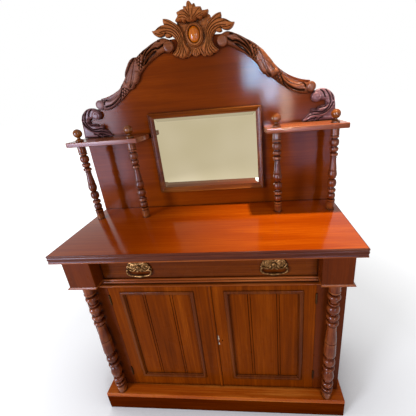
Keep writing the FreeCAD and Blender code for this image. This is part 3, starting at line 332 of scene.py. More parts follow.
def circle(radius, sides, tall=1.0):
    """(across, up) points of a ring, or of an oval where tall isn't 1."""
    angles = [2 * math.pi * k / sides for k in range(sides)]
    return [(radius * math.cos(a), tall * radius * math.sin(a)) for a in angles]


def skin(rings, capped=True):
    """Points and faces through closed rings of equal length."""
    count, last = len(rings[0]), len(rings) - 1
    faces = []
    for i in range(last):
        for k in range(count):
            a, b = i * count + k, i * count + (k + 1) % count
            faces.append((a, b, b + count, a + count))
    if capped:
        faces += [tuple(range(count)), tuple(range(last * count, (last + 1) * count))]
    return [p for ring in rings for p in ring], faces


def mirrored(shape):
    """The same skin on the other side of the middle."""
    points, faces = shape
    return [(-x, y, z) for x, y, z in points], [tuple(reversed(face)) for face in faces]


def on_line(points, share):
    """Place at a share of the way along a smooth line through points."""
    where = min(max(share, 0.0), 1.0) * (len(points) - 1)
    i = min(int(where), len(points) - 2)
    t = where - i
    b, c = Vector(points[i]), Vector(points[i + 1])
    a = Vector(points[i - 1]) if i else 2 * b - c
    d = Vector(points[i + 2]) if i + 2 < len(points) else 2 * c - b
    bend, twist = 2 * a - 5 * b + 4 * c - d, 3 * b - a - 3 * c + d
    return 0.5 * (2 * b + (c - a) * t + bend * t ** 2 + twist * t ** 3)


# ------------------------------------------------------------------ turnings
LATHE_SIDES = 44
# The turner's cuts, each with its steps and its share of the way from one radius to the next. A line
# tapers, a curve eases over, a bead swells out and comes back, and a belly bulges between two radii.
LATHE_CUTS = {
    "line": (1, lambda t: t),
    "curve": (6, lambda t: 0.5 - 0.5 * math.cos(math.pi * t)),
    "bead": (12, lambda t: math.sqrt(max(0.0, 1 - (2 * t - 1) ** 2))),
    "belly": (10, lambda t: math.sin(math.pi * t)),
}


def profile_of(start, steps):
    """Profile as (radius, height) points from the foot up, from (radius, rise, cut) steps."""
    points = [(start, 0.0)]
    for radius, rise, *cut in steps:
        before, z = points[-1]
        count, share = LATHE_CUTS[cut[0] if cut else "line"]
        points += [(before + (radius - before) * share(k / count), z + rise * k / count)
                   for k in range(1, count + 1)]
    return points


def turned(profile, x, y, z):
    """A turning about an upright axis."""
    return skin([[(x + u, y + v, z + height) for u, v in circle(radius, LATHE_SIDES)]
                 for radius, height in profile])


def turned_forward(profile, x, z, y, sides=28, tall=1.0):
    """A turning about an axis that points to the front, from (radius, projection) pairs."""
    return skin([[(x + u, y - out, z + v) for u, v in circle(radius, sides, tall)]
                 for radius, out in profile])


def dome(x, z, y, radius, out, flat=0.0, steps=10, sides=28, tall=1.0):
    """A planted ball or boss, from its foot on y to its crown."""
    quarter = [math.pi / 2 * j / steps for j in range(steps + 1)]
    rise = [(radius * max(math.cos(a), 0.02), flat + (out - flat) * math.sin(a)) for a in quarter]
    return turned_forward([(radius, 0.0)] + rise, x, z, y, sides, tall)


# Steps of the turnings from the foot up: the radius each comes to, its rise, and its cut if it isn't a line.
COLUMN = [
    (24.2, 42), (22, 2), (15.5, 3), (15.5, 6), (25.2, 15, "bead"), (15.5, 4, "curve"), (15, 7),
    (26, 27, "bead"), (15, 2), (15, 8), (19.5, 1), (26, 56, "belly"), (15.5, 6, "curve"), (15, 7),
    (26, 20, "bead"), (15, 2), (15, 8), (26, 37, "bead"), (16, 2), (16, 6), (26, 21, "curve"),
    (24.6, 70, "curve"), (22.4, 1.5), (22.4, 2), (24.2, 1), (19, 88, "curve"), (15.5, 3), (15.5, 5),
    (26, 19, "bead"), (14.5, 3), (14.5, 9), (26, 22, "bead"), (14.5, 3), (14.5, 8), (26, 35, "bead"),
    (15, 3), (15, 5), (21.5, 7, "bead"), (14.5, 10, "curve"), (14.5, 7), (26, 24, "bead"), (14.5, 3),
    (14.5, 8), (24.4, 1.5), (25.2, 4.5), (23.2, 2),
]
SPINDLE = [
    (17.4, 38), (15.2, 2), (18.3, 2), (18.3, 7), (11, 3), (18, 28, "bead"), (11, 2), (18, 4), (18.6, 10),
    (11, 7, "curve"), (10.6, 4), (19.5, 36, "bead"), (11, 2), (16, 5), (19.2, 14, "curve"),
    (17.4, 16, "curve"), (15.9, 1), (16.4, 1), (12.4, 50, "curve"), (11.4, 4), (13.6, 6, "bead"), (11.6, 3),
    (17.4, 2), (18.2, 8), (11, 6, "curve"), (17.6, 8, "curve"), (18.6, 9), (12, 6, "curve"), (12, 2),
    (19.5, 31, "bead"), (12, 2), (17.8, 3), (18.4, 6), (15.6, 1.5), (15.6, 1), (18.2, 1.5), (18.2, 5),
    (17.4, 2),
]
FINIAL = [(17.6, 1.5), (17.2, 3.5), (7, 9, "curve"), (6.6, 3)]
FINIAL_BALL = 19.5
# Points of neighbouring turnings lie further apart than this across the front.
TURNING_GAP = 12.0


def shaft(node, steps, foot, head, head_length):
    """Profile of a turned shaft that fills the node's height, under a plain head."""
    z0, z1 = span(node)[4:]
    fit = (z1 - z0 - head_length) / sum(step[1] for step in steps)
    fitted = [(radius, rise * fit, *cut) for radius, rise, *cut in steps]
    return profile_of(foot, fitted + [(head, head_length)])


def turnings_at(node, profile, material):
    """The same turning at each of the node's own axes, which are read from its points."""
    points = [v.co / MM for v in frame["nodes"][node].data.vertices]
    groups = []
    for p in sorted(points, key=lambda v: v.x):
        if not groups or p.x - groups[-1][-1].x > TURNING_GAP:
            groups.append([])
        groups[-1].append(p)
    shapes = []
    for group in groups:
        middle, depths = (group[0].x + group[-1].x) / 2, [p.y for p in group]
        shapes.append(turned(profile, middle, (min(depths) + max(depths)) / 2, span(node)[4]))
    piece("turned_" + node, shapes, node, material)


def turnings():
    column = shaft("columns", COLUMN, foot=20.0, head=23.0, head_length=39.0)
    spindle = shaft("spindles", SPINDLE, foot=17.0, head=17.8, head_length=22.0)
    turnings_at("columns", column, turned_wood)
    turnings_at("spindles", spindle, turned_wood)
    z0, z1 = span("finials")[4:]
    foot = profile_of(17.0, FINIAL)
    centre = z1 - z0 - FINIAL_BALL
    start = math.asin(foot[-1][0] / FINIAL_BALL)
    angles = [start + (math.pi - start) * k / 18 for k in range(18)]
    globe = [(FINIAL_BALL * math.sin(a), centre - FINIAL_BALL * math.cos(a)) for a in angles]
    turnings_at("finials", foot + globe + [(0.6, z1 - z0)], ball_wood)


# ------------------------------------------------------------------ boards and mouldings
def inset(outline, worked, amount):
    """An (x, y) outline, run anticlockwise, with its worked edges moved in by an amount."""
    lines = []
    for i, corner in enumerate(outline):
        a, b = Vector(corner), Vector(outline[(i + 1) % len(outline)])
        way = (b - a).normalized()
        lines.append((a + Vector((-way.y, way.x)) * (amount if worked[i] else 0.0), way))
    corners = []
    for (p, u), (q, v) in zip(lines[-1:] + lines, lines):
        cross = u.x * v.y - u.y * v.x
        if abs(cross) < 1e-6:
            corners.append(q)
        else:
            corners.append(p + u * (((q - p).x * v.y - (q - p).y * v.x) / cross))
    return corners


def edged_board(outline, worked, profile):
    """A board whose worked edges have a moulded profile of (inset, height) points from below up."""
    return skin([[(x, y, z) for x, y in inset(outline, worked, amount)] for amount, z in profile])


def rounded(inset_at, z0, z1, radius):
    """Profile of a board's edge with both arrises rounded."""
    quarter = [math.pi / 8 * k for k in range(5)]
    low = [(inset_at + radius * (1 - math.sin(a)), z0 + radius * (1 - math.cos(a))) for a in quarter]
    return low + [(i, z1 - (z - z0)) for i, z in reversed(low)]


def opening(x0, x1, z0, z1, y, i):
    """Corners of an upright rectangle, moved in by i."""
    return [(x0 + i, y, z0 + i), (x1 - i, y, z0 + i), (x1 - i, y, z1 - i), (x0 + i, y, z1 - i)]


def frame_run(x0, x1, z0, z1, y, profile):
    """Four mitred lengths round an upright opening, from (inset, projection) points."""
    return skin([opening(x0, x1, z0, z1, y - p, i) for i, p in profile + profile[:1]], capped=False)


def top_board():
    """The top in three layers: a thin lip, the dark run of cove, ovolo and quirk, and the field."""
    x0, x1, y0, y1, z0, z1 = span("top_board")
    lip, veneer = 6.0, 7.0
    cove = [(0.6 + 1.4 * math.sin(math.pi / 2 * k / 5), z0 + lip + 7.5 * k / 5) for k in range(6)]
    ovolo = [(1.8 - 1.6 * math.sin(math.pi * k / 8) ** 0.7, z0 + 14.2 + 13.0 * k / 8) for k in range(9)]
    quirk = [(2.0, z0 + 27.6), (2.0, z0 + 29.2), (0.2, z0 + 29.6)]
    arris = rounded(0.0, z1 - 8.0, z1 - 0.3, 3.0)[5:]
    for layer, profile, material in (
        ("moulded", cove + ovolo + quirk + arris, edge_wood),
        # the lip takes the lighter bead wood, a painted highlight
        ("lip", rounded(0.4, z0, z0 + lip, 1.8), bead_highlight_wood),
        ("field", rounded(2.4, z1 - veneer, z1, 2.4), top_wood),
    ):
        board = edged_board([(x0, y0), (x1, y0), (x1, y1), (x0, y1)], [True, True, False, True], profile)
        piece("top_board_" + layer, [board], "top_board", material, crease=25.0, extra=layer != "moulded")


def rail_bead():
    """Two reeds with a quirk between them over a small fillet, along the rail under the drawer."""
    x0, x1, y0, y1, z0, z1 = span("rail_bead")
    fillet, depth = 3.0, y1 - y0
    half = (z1 - z0 - fillet) / 4
    section = [(y1, z0), (y1 - 0.55 * depth, z0), (y1 - 0.55 * depth, z0 + fillet)]
    for middle, out in ((z0 + fillet + half, depth), (z0 + fillet + 3 * half, 0.8 * depth)):
        section += [(y1 - out + half * 0.9 * (1 - math.sin(a)), middle - half * math.cos(a))
                    for a in [math.pi * k / 10 for k in range(11)]]
    section.append((y1, z1))
    length = skin([[(x, y, z) for y, z in section] for x in (x0, x1)])
    piece("rail_reeded", [length], "rail_bead", bead_highlight_wood, crease=30.0)


def side_shelves():
    """Shelves over the spindles: rounded arrises, a rounded outer corner and a softly curved inner end."""
    for node in ("side_shelf_right", "side_shelf_left"):
        x0, x1, y0, y1, z0, z1 = span(node)
        near, far = (x0, x1) if x0 > 0 else (-x1, -x0)
        corner, splay = 10.0, 8.0
        curve = [(near, y1), (near - 1.0, (y0 + y1) / 2), (near + splay, y0)]
        angles = [math.radians(-90 + 15 * k) for k in range(7)]
        outline = [tuple(on_line(curve, k / 8)) for k in range(9)]
        outline += [(far - corner + corner * math.cos(a), y0 + corner + corner * math.sin(a)) for a in angles]
        outline.append((far, y1))
        worked = [True] * (len(outline) - 2) + [True, False]
        shape = edged_board(outline, worked, rounded(0.0, z0, z1, 2.5))
        piece(node + "_rounded", [shape if x0 > 0 else mirrored(shape)], node, shelf_wood)


def mirror_frame():
    """Mitred frame: an outer bead, a hollow and a worn inner sight edge."""
    x0, x1, y0, y1, z0, z1 = span("mirror_frame")
    width, depth = 26.0, y1 - y0
    bead = [(2.0 + 6.0 * k / 6, depth - 3.5 + 3.5 * math.sin(math.pi * k / 6)) for k in range(7)]
    slope = [(9.0, depth - 5.0), (14.0, depth - 7.0), (19.0, depth - 10.5), (22.0, depth - 11.5)]
    sight = [(width - 3.0, depth - 11.5), (width - 1.2, depth - 12.0), (width, depth - 14.0), (width, 6.5),
             (width - 7.0, 6.5), (width - 7.0, 0.0), (0.0, 0.0), (0.0, depth - 6.0), (1.0, depth - 4.5)]
    shape = frame_run(x0, x1, z0, z1, y1, bead + slope + sight)
    piece("mirror_frame_moulded", [shape], "mirror_frame", frame_wood, crease=25.0)


def mirror_plate():
    """Silvered plate with a wide, very shallow bevel."""
    x0, x1, y0, y1, z0, z1 = span("mirror_glass")
    bevel, fall = 20.0, 0.7
    rings = [opening(x0, x1, z0, z1, y, i) for i, y in ((0.0, y1), (0.0, y0 + fall), (bevel, y0))]
    piece("mirror_bevelled_plate", [skin(rings)], "mirror_glass", mirror_silver, crease=0.3)


def door_mouldings():
    """Panel moulding of each door: a lapped ovolo with a quirk, mitred at the corners."""
    for node in ("left_door_moulding", "right_door_moulding"):
        x0, x1, y0, y1, z0, z1 = span(node)
        depth = y1 - y0
        angles = [math.pi * k / 10 for k in range(11)]
        nose = [(10.0 - 8.0 * math.cos(a), depth - 4.0 + 4.0 * math.sin(a)) for a in angles]
        rest = [(19.0, depth - 7.0), (21.0, depth - 9.5), (22.0, depth - 11.0), (22.0, 0.0), (10.0, 0.0),
                (10.0, depth - 6.0), (1.0, depth - 6.0)]
        shape = frame_run(x0, x1, z0, z1, y1, nose + rest)
        piece(node + "_moulded", [shape], node, door_moulding_wood, crease=25.0)


# Nodes whose own form only needs its arrises eased: the material, the width of the arris, and the nodes.
EASED = [
    (post_wood, 1.0, ["post_left", "post_right", "side_left", "side_right"]),
    (back_wood, 1.0, ["back_panel"]),
    (frieze_wood, 1.4, ["drawer_rail", "drawer_front"]),
    # the fillet and the blocks' mouldings take the lighter bead wood, a painted highlight
    (bead_highlight_wood, 1.2, ["rail_fillet"]),
    (bead_highlight_wood, 1.0, ["block_mouldings"]),
    (post_wood, 2.2, ["frieze_block_left", "frieze_block_right"]),
    (plinth_wood, 1.4, ["plinth_frame"]),
    (ledge_wood, 0.8, ["base_board"]),
    (door_wood, 1.0, ["left_door_frame", "right_door_frame"]),
    (door_wood, 0.5, ["left_door_panel", "right_door_panel"]),
    (door_wood, 1.0, ["astragal"]),
    (drawn_brass, 0.2, ["left_door_hinges", "right_door_hinges", "hinge_plates"]),
    (pine_across, 0.8, ["drawer_bottom", "dust_board", "cupboard_shelf", "drawer_back"]),
    (pine_wood, 0.8, ["back_boards", "shelf_battens", "drawer_runners", "drawer_sides", "plinth_blocks"]),
    (post_wood, 1.4, ["rear_uprights"]),
]
# Nodes that stay as they are, in their own materials.
KEPT = {"mirror_backing": pine_across, "door_lock": filed_steel, "lock_bolt": filed_steel}


def boards():
    for material, radius, nodes in EASED:
        for node in nodes:
            softened(node, material, radius)
    for node, material in KEPT.items():
        slots = frame["nodes"][node].data.materials
        slots.clear()
        slots.append(material)


# ------------------------------------------------------------------ carving
# Points of a carving's face lie about this far apart.
PITCH = 1.7
# A scale's length and width and the depth round it, and the height and width of the rim of a hollow.
SCALE_LENGTH, SCALE_WIDTH, SCALE_DEPTH = 12.5, 12.0, 7.5
RIM_HEIGHT, RIM_WIDTH = 2.2, 1.8


def distance(places, line):
    """Distances of places, an array of (x, z), from a line through points."""
    line = np.array([tuple(p) for p in line])
    start, way = line[:-1], line[1:] - line[:-1]
    share = ((places[:, None] - start) * way).sum(2) / np.maximum((way * way).sum(1), 1e-9)
    near = start + np.clip(share, 0, 1)[..., None] * way
    return np.linalg.norm(places[:, None] - near, axis=2).min(1)


def inside(places, outline):
    """Which of the places lie inside a closed outline."""
    x, z = places[:, 0, None], places[:, 1, None]
    ax, az = np.array(outline).T
    bx, bz = np.roll(outline, -1, axis=0).T
    rise = np.where(bz == az, 1e-9, bz - az)
    return (((az > z) != (bz > z)) & (x < ax + (z - az) * (bx - ax) / rise)).sum(1) % 2 == 1


def eased(line):
    """Places along a smooth line, without its last point."""
    length = sum((Vector(b) - Vector(a)).length for a, b in zip(line, line[1:]))
    steps = max(2, round(length / PITCH))
    return [tuple(on_line(line, k / steps)) for k in range(steps)]


def whole(line):
    """Places along a smooth line, and its last point."""
    return np.array(eased(line) + [tuple(line[-1])])


def looped(ring):
    """The points of a ring, with the first one again at the end."""
    return np.vstack([ring, ring[:1]])


def scale_work(places, turn):
    """Height 0..1 of overlapping scales in rows across a direction, given in degrees."""
    a = math.radians(turn)
    along = (places[:, 0] * math.cos(a) + places[:, 1] * math.sin(a)) / SCALE_LENGTH
    across = (places[:, 1] * math.cos(a) - places[:, 0] * math.sin(a)) / SCALE_WIDTH
    across += 0.5 * (np.floor(along) % 2)
    u, v = along % 1 - 0.1, 2 * (across % 1) - 1
    return np.sqrt(np.maximum(0.0, 1 - 1.1 * u ** 2 - 0.9 * v ** 2))


def relief(runs, edge, crown, shoulder, cuts=(), hollows=(), scaled=(), swells=(), back=0.0):
    """Closed skin of a carving on the panel. Its outline is smooth runs of (x, z) that meet in corners,
    and it rises from edge to crown over the shoulder. cuts (line, width, depth) are run with a gouge, or
    raised where depth is negative. hollows (outline, depth, bank) are scooped out with a raised rim, scaled
    (outline, turn) is laid with scales, and swells (x, z, reach, height) lift the work."""
    outline = np.array([p for run in runs for p in eased(run)])
    closed, count = looped(outline), len(outline)
    low, high = outline.min(0), outline.max(0)
    across, up = np.meshgrid(np.arange(low[0], high[0], PITCH), np.arange(low[1], high[1], PITCH * 0.866))
    across[1::2] += PITCH / 2
    places = np.stack([across.ravel(), up.ravel()], 1)
    places = places[inside(places, outline)]
    points, kept_edges = list(map(tuple, outline)), []
    for line, *_ in cuts:
        drawn = whole(line)
        drawn = drawn[inside(drawn, outline)]
        drawn = drawn[distance(drawn, closed) > 0.5 * PITCH]
        if len(drawn) > 1:
            places = places[distance(places, drawn) > 0.5 * PITCH]
            first = len(points)
            points += list(map(tuple, drawn))
            kept_edges += [(k, k + 1) for k in range(first, len(points) - 1)]
    places = places[distance(places, closed) > 0.55 * PITCH]
    points = [Vector(p) for p in points + list(map(tuple, places))]
    kept_edges += [(k, (k + 1) % count) for k in range(count)]
    keep_inside, nearest = 1, 0.02
    made = delaunay_2d_cdt(points, kept_edges, [list(range(count))], keep_inside, nearest)
    flat, faces, origins = made[0], made[2], made[3]
    spots = np.array([tuple(p) for p in flat])
    inward = np.clip(distance(spots, closed) / shoulder, 0, 1)
    height = edge + (crown - edge) * np.sqrt(1 - (1 - inward) ** 2)
    for x, z, reach, lift in swells:
        height += lift * np.exp(-((spots - (x, z)) ** 2).sum(1) / reach ** 2)
    for ring, turn in scaled:
        within = inside(spots, ring) * np.clip(distance(spots, looped(ring)) / 2.0, 0, 1)
        height -= within * SCALE_DEPTH * (1 - scale_work(spots, turn))
    for ring, depth, bank in hollows:
        ring = eased(ring + ring[:1])
        off, within = distance(spots, looped(ring)), inside(spots, ring)
        height -= depth * within * np.clip(off / bank, 0, 1) ** 0.8
        height += RIM_HEIGHT * np.exp(-((off - 1.0 * ~within) / RIM_WIDTH) ** 2)
    for line, width, depth in cuts:
        height -= depth * np.maximum(0.0, 1 - distance(spots, whole(line)) / width) ** 1.3
    height = np.maximum(height, back + 1.5)
    where = {start: i for i, starts in enumerate(origins) for start in starts}
    rim = [where[k] for k in range(count) if k in where]
    skin_points = [(x, PANEL - h, z) for (x, z), h in zip(spots, height)]
    skin_points += [(spots[i][0], PANEL - back, spots[i][1]) for i in rim]
    foot, ring = len(spots), range(len(rim))
    walls = [(rim[k], rim[(k + 1) % len(rim)], foot + (k + 1) % len(rim), foot + k) for k in ring]
    return skin_points, [tuple(f) for f in faces] + walls + [tuple(foot + k for k in reversed(ring))]


def window(value, start, end, soft):
    """1 between start and end, fading to 0 over soft on each side."""
    rise = min(max((value - start + soft) / soft, 0.0), 1.0)
    fall = min(max((end + soft - value) / soft, 0.0), 1.0)
    return rise * rise * (3 - 2 * rise) * fall * fall * (3 - 2 * fall)


def volute(x, z, radius, out, way=1, cut=0.0):
    """A rolled scroll end: a low button with rounded edges, and a spiral cut round it to a depth."""
    sides, steps, turns = 56, 18, 0.8
    rings = [[(x + u, PANEL, z + v) for u, v in circle(radius, sides)]]
    for j in range(steps + 1):
        share = 1 - j / steps
        crown = out * (0.7 + 0.3 * (1 - share ** 4) ** 0.5)
        ring = []
        for k, (u, v) in enumerate(circle(radius * max(share, 0.01), sides)):
            phase = (share * turns - way * k / sides) % 1
            groove = math.exp(-((phase - 0.5) / 0.09) ** 2) * window(share, 0.25, 0.86, 0.1)
            ring.append((x + u, PANEL - crown + cut * groove, z + v))
        rings.append(ring)
    return skin(rings)


def carve(node, shapes, material):
    """One carved piece of the back's planted work."""
    piece(node + "_carved", shapes, node, material, crease=50.0)


# Places on the back are given across from its middle and up from BOSS, just under the cabochon's centre,
# or inwards from the panel's end and up from the shelf. OVAL is the height of the oval rim's centre.
BOSS_X0, BOSS_X1, _, _, BOSS_Z0, BOSS_Z1 = span("cabochon")
BOSS = (BOSS_Z0 + BOSS_Z1) / 2 - 1.0
OVAL = BOSS + 3.5
PANEL_END, PANEL = span("back_panel")[1:3]
SHELF = span("side_shelf_right")[5]


def from_boss(points, side):
    """Points given from the boss. The left S-scroll bows out a little more than the right one."""
    most = 10.0 if side < 0 else 0.0
    bow = [most * math.sin(math.pi * min(max((x - 110) / 370, 0.0), 1.0)) for x, z in points]
    return [(side * (x + 0.8 * b), BOSS + z + 0.6 * b) for (x, z), b in zip(points, bow)]


def on_crest(points, side):
    """Points of the crest, whose left spray reaches a little further than the right one."""
    reach = 1.04 if side < 0 else 1.0
    return [(side * x * reach, OVAL + z) for x, z in points]


def on_shelf(points, side):
    """Points given inwards from the panel's end and up from the shelf."""
    end = PANEL_END - 3.0 if side > 0 else PANEL_END + 6.0
    return [(side * (end - u), SHELF + v) for u, v in points]


def placed(place, side, runs):
    """Runs of a closed outline in their place. Each ends where the next one begins."""
    return [place(run + after[:1], side) for run, after in zip(runs, runs[1:] + runs[:1])]


def gouged(place, side, lines, width, depth):
    """The same gouge cut along each of several lines."""
    return [(place(line, side), width, depth) for line in lines]


# An S-scroll: along its upper edge, across the outer end, back along the lower edge and across the inner end.
S_BAND = [
    [(110, -4), (134, 4), (153, 1), (184, -11), (222, -33), (257, -57), (286, -79), (320, -121),
     (349, -158), (389, -191), (431, -211)],
    [(474, -222)],
    [(476, -264), (441, -262), (394, -244), (351, -214), (318, -188), (285, -160), (252, -124), (220, -95),
     (180, -69), (141, -50)],
    [(114, -48)],
]
# Long cuts of the cap and of the outer end.
S_CUTS = [
    [(150, -8), (168, -10), (187, -23), (207, -39), (222, -57), (232, -76), (237, -97)],
    [(166, -5), (179, -11), (201, -23), (219, -36), (231, -53)],
    [(132, -22), (146, -28), (160, -36), (170, -34), (186, -40), (204, -52), (219, -66), (229, -80)],
    [(358, -172), (370, -194), (389, -211), (405, -220), (429, -226), (452, -222)],
    [(356, -180), (367, -205), (386, -224), (408, -238), (431, -247), (455, -250)],
    [(366, -210), (382, -232), (400, -246)], [(440, -216), (455, -224), (462, -236)],
]
# The rimmed hollows under the cap and along the outer end.
S_CAP_HOLLOW = [
    (166, -44), (180, -45), (198, -55), (213, -68), (224, -82), (231, -96), (222, -92), (208, -80),
    (193, -68), (176, -56),
]
S_END_HOLLOW = [
    (360, -170), (389, -181), (412, -195), (436, -203), (456, -210), (450, -219), (429, -225), (405, -221),
    (385, -210), (368, -190),
]
# Beds of scales, and the way their rows run.
S_SCALES = [
    ([(222, -36), (233, -54), (240, -75), (239, -97), (238, -106), (253, -121), (259, -101), (262, -83),
     (261, -61)], -50),
    ([(331, -140), (345, -164), (343, -177), (318, -188), (344, -208), (379, -231), (370, -210),
     (361, -187), (353, -165)], -48),
]
# The leaf that twists over the middle of an S-scroll, its tip folded over the lower edge.
S_LEAF = [
    [(262, -62), (270, -66), (286, -79), (302, -99), (320, -121)],
    [(331, -138), (342, -154), (345, -168), (340, -180)], [(320, -189), (310, -188), (299, -181)],
    [(291, -170), (281, -166), (270, -153), (264, -140)], [(256, -122), (262, -114)],
    [(270, -112), (263, -98), (264, -80)],
]
S_LEAF_CUTS = [
    [(270, -64), (284, -85), (296, -108), (308, -132), (324, -158)],
    [(266, -80), (273, -98), (282, -120), (291, -142), (301, -164), (312, -180)],
    [(288, -84), (304, -108), (322, -134), (334, -150)],
]


def bulged(runs, side):
    """The left leaf swells further out along its outer edge."""
    if side > 0:
        return runs
    swell = [math.sin(math.pi * k / (len(runs[0]) - 1)) for k in range(len(runs[0]))]
    return [[(x - 8.0 * s, z + 7.0 * s) for (x, z), s in zip(runs[0], swell)]] + runs[1:]


def s_scrolls():
    for side, node in ((1, "scroll_right"), (-1, "scroll_left")):
        hollows = [(from_boss(S_CAP_HOLLOW, side), 17.0, 4.0), (from_boss(S_END_HOLLOW, side), 15.0, 9.0)]
        scaled = [(from_boss(ring, side), turn if side > 0 else 180 - turn) for ring, turn in S_SCALES]
        band = relief(placed(from_boss, side, S_BAND), edge=6.0, crown=20.0, shoulder=15.0,
                      cuts=gouged(from_boss, side, S_CUTS, 5.4, 11.0), hollows=hollows, scaled=scaled)
        leaf = relief(bulged(placed(from_boss, side, S_LEAF), side), edge=13.0, crown=24.0, shoulder=12.0,
                      cuts=gouged(from_boss, side, S_LEAF_CUTS, 6.6, 13.0),
                      swells=[(side * 335, BOSS - 168, 14.0, 4.0)])
        balls = [volute(side * 117, BOSS - 31, 23.0, 26.0), volute(side * 484, BOSS - 238, 21.5, 24.0)]
        carve(node, [band, leaf] + balls, carved_wood)


# From the volute over the top and down the outside, along the shelf, and back up the torn inner edge.
CORNER = [
    [(112, 118), (102, 129), (94, 134), (80, 137), (66, 137), (52, 133), (39, 125), (29, 116), (21, 105),
     (16, 91), (12, 70), (11, 52), (9, 28)],
    [(6, 1), (40, 0), (80, 0)], [(91, 5), (99, 1), (118, 1), (140, 2)],
    [(154, 2), (143, 15), (133, 25), (123, 34)], [(113, 36), (117, 45)], [(117, 54), (105, 54), (94, 51)],
    [(89, 55), (87, 61), (77, 64)], [(64, 66), (56, 67), (52, 73)], [(54, 82), (59, 88), (67, 90)],
    [(76, 90), (94, 100)],
]
CORNER_CUTS = [
    [(142, 12), (119, 26), (97, 29), (75, 30), (55, 37), (42, 48), (30, 62), (24, 76)],
    [(110, 42), (90, 40), (70, 39), (55, 46), (45, 57), (38, 70), (34, 85)],
    [(80, 132), (68, 120), (63, 110), (60, 101)], [(58, 130), (47, 114), (40, 100), (38, 86)],
    [(36, 118), (28, 101), (24, 86)], [(84, 57), (69, 58), (57, 61), (47, 73)],
    [(84, 3), (81, 12), (66, 18)], [(134, 6), (112, 14), (90, 15)], [(104, 8), (98, 18)],
]
CORNER_RIDGE = [(150, 6), (120, 22), (97, 25), (75, 26), (54, 33), (40, 44), (27, 59), (20, 73), (17, 88)]


def corner_scrolls():
    for side, node in ((1, "corner_scroll_right"), (-1, "corner_scroll_left")):
        cuts = gouged(on_shelf, side, CORNER_CUTS, 4.4, 8.0)
        cuts += gouged(on_shelf, side, [CORNER_RIDGE], 4.5, -3.0)
        body = relief(placed(on_shelf, side, CORNER), edge=8.0, crown=19.0, shoulder=13.0, cuts=cuts)
        x, z = on_shelf([(97, 104)], side)[0]
        carve(node, [body, volute(x, z, 21.0, 25.0, way=side, cut=1.6)], corner_sheen_wood)


# Ground of the crest: under the leaf, round a plain lobe, down behind a spray and along the foot's lobes.
GROUND = [
    [(-70, 52), (-30, 62), (0, 66)], [(38, 65), (52, 69), (63, 70), (71, 66), (75, 60)],
    [(76, 52), (66, 20), (60, -10), (58, -40)], [(46, -74), (42, -81), (34, -83), (27, -79)],
    [(19, -69), (10, -76), (0, -80), (-9, -79), (-16, -75)],
    [(-20, -68), (-28, -75), (-38, -80), (-45, -79)], [(-48, -74), (-58, -40), (-60, -10), (-66, 20)],
]
GROUND_CUTS = [
    [(19, -70), (15, -60), (12, -50)], [(-20, -69), (-16, -60), (-13, -50)], [(0, -77), (0, -64), (0, -52)],
    [(34, -80), (28, -66), (22, -54)], [(-36, -78), (-29, -66), (-23, -54)], [(9, -73), (6, -60)],
    [(-9, -75), (-6, -60)], [(45, -74), (34, -58), (28, -46)], [(-46, -74), (-35, -58), (-29, -46)],
]
# A spray: from its foot up the outside to a hooked lobe, round two pointed lobes and down by the oval.
SPRAY = [
    [(98, -64), (88, -55), (78, -44), (73, -32), (72, -21), (78, -11), (86, -3)],
    [(92, 4), (99, 1), (108, -1)], [(118, 1), (118, 8)],
    [(113, 16), (122, 9), (133, 5), (145, 4), (156, 8), (165, 16)],
    [(172, 28), (161, 29), (150, 34), (140, 40), (130, 44)], [(118, 46), (120, 57)],
    [(119, 67), (109, 66), (98, 63), (87, 58)],
    [(77, 51), (65, 43), (55, 31), (49, 17), (45, 3), (45, -13), (43, -26), (38, -37)],
    [(27, -48), (28, -60)], [(42, -78), (52, -83), (62, -83), (71, -79)], [(73, -74), (82, -75), (91, -71)],
]
SPRAY_CUTS = [
    [(42, -78), (41, -65), (45, -48), (49, -30), (49, -10), (53, 9), (62, 26), (77, 41), (96, 53),
     (116, 63)],
    [(58, -80), (51, -62), (51, -45), (54, -27), (54, -9), (58, 8), (68, 23), (83, 35), (100, 43),
     (119, 46)],
    [(72, -74), (62, -61), (58, -45), (59, -28), (60, -11), (65, 4), (76, 18), (93, 28), (112, 32),
     (134, 33), (158, 29)],
    [(84, -72), (70, -58), (64, -44), (64, -28), (66, -13), (72, 1), (84, 13), (99, 20), (116, 22),
     (136, 18)],
    [(94, -66), (79, -54), (70, -42), (69, -28), (71, -16), (78, -4), (88, 5), (102, 12), (112, 14)],
    [(128, 40), (136, 36), (150, 30)], [(124, 14), (140, 12), (156, 16)],
]
# Section of the oval's rim, as (reach beyond the boss, height) from its outer foot to its inner one.
OVAL_RIM = [
    (14.5, 12.0), (14.5, 19.0), (13.0, 21.0), (11.0, 19.0), (9.8, 19.0), (8.6, 22.5), (6.0, 23.5),
    (3.0, 21.0), (0.0, 16.0), (0.0, 12.0),
]


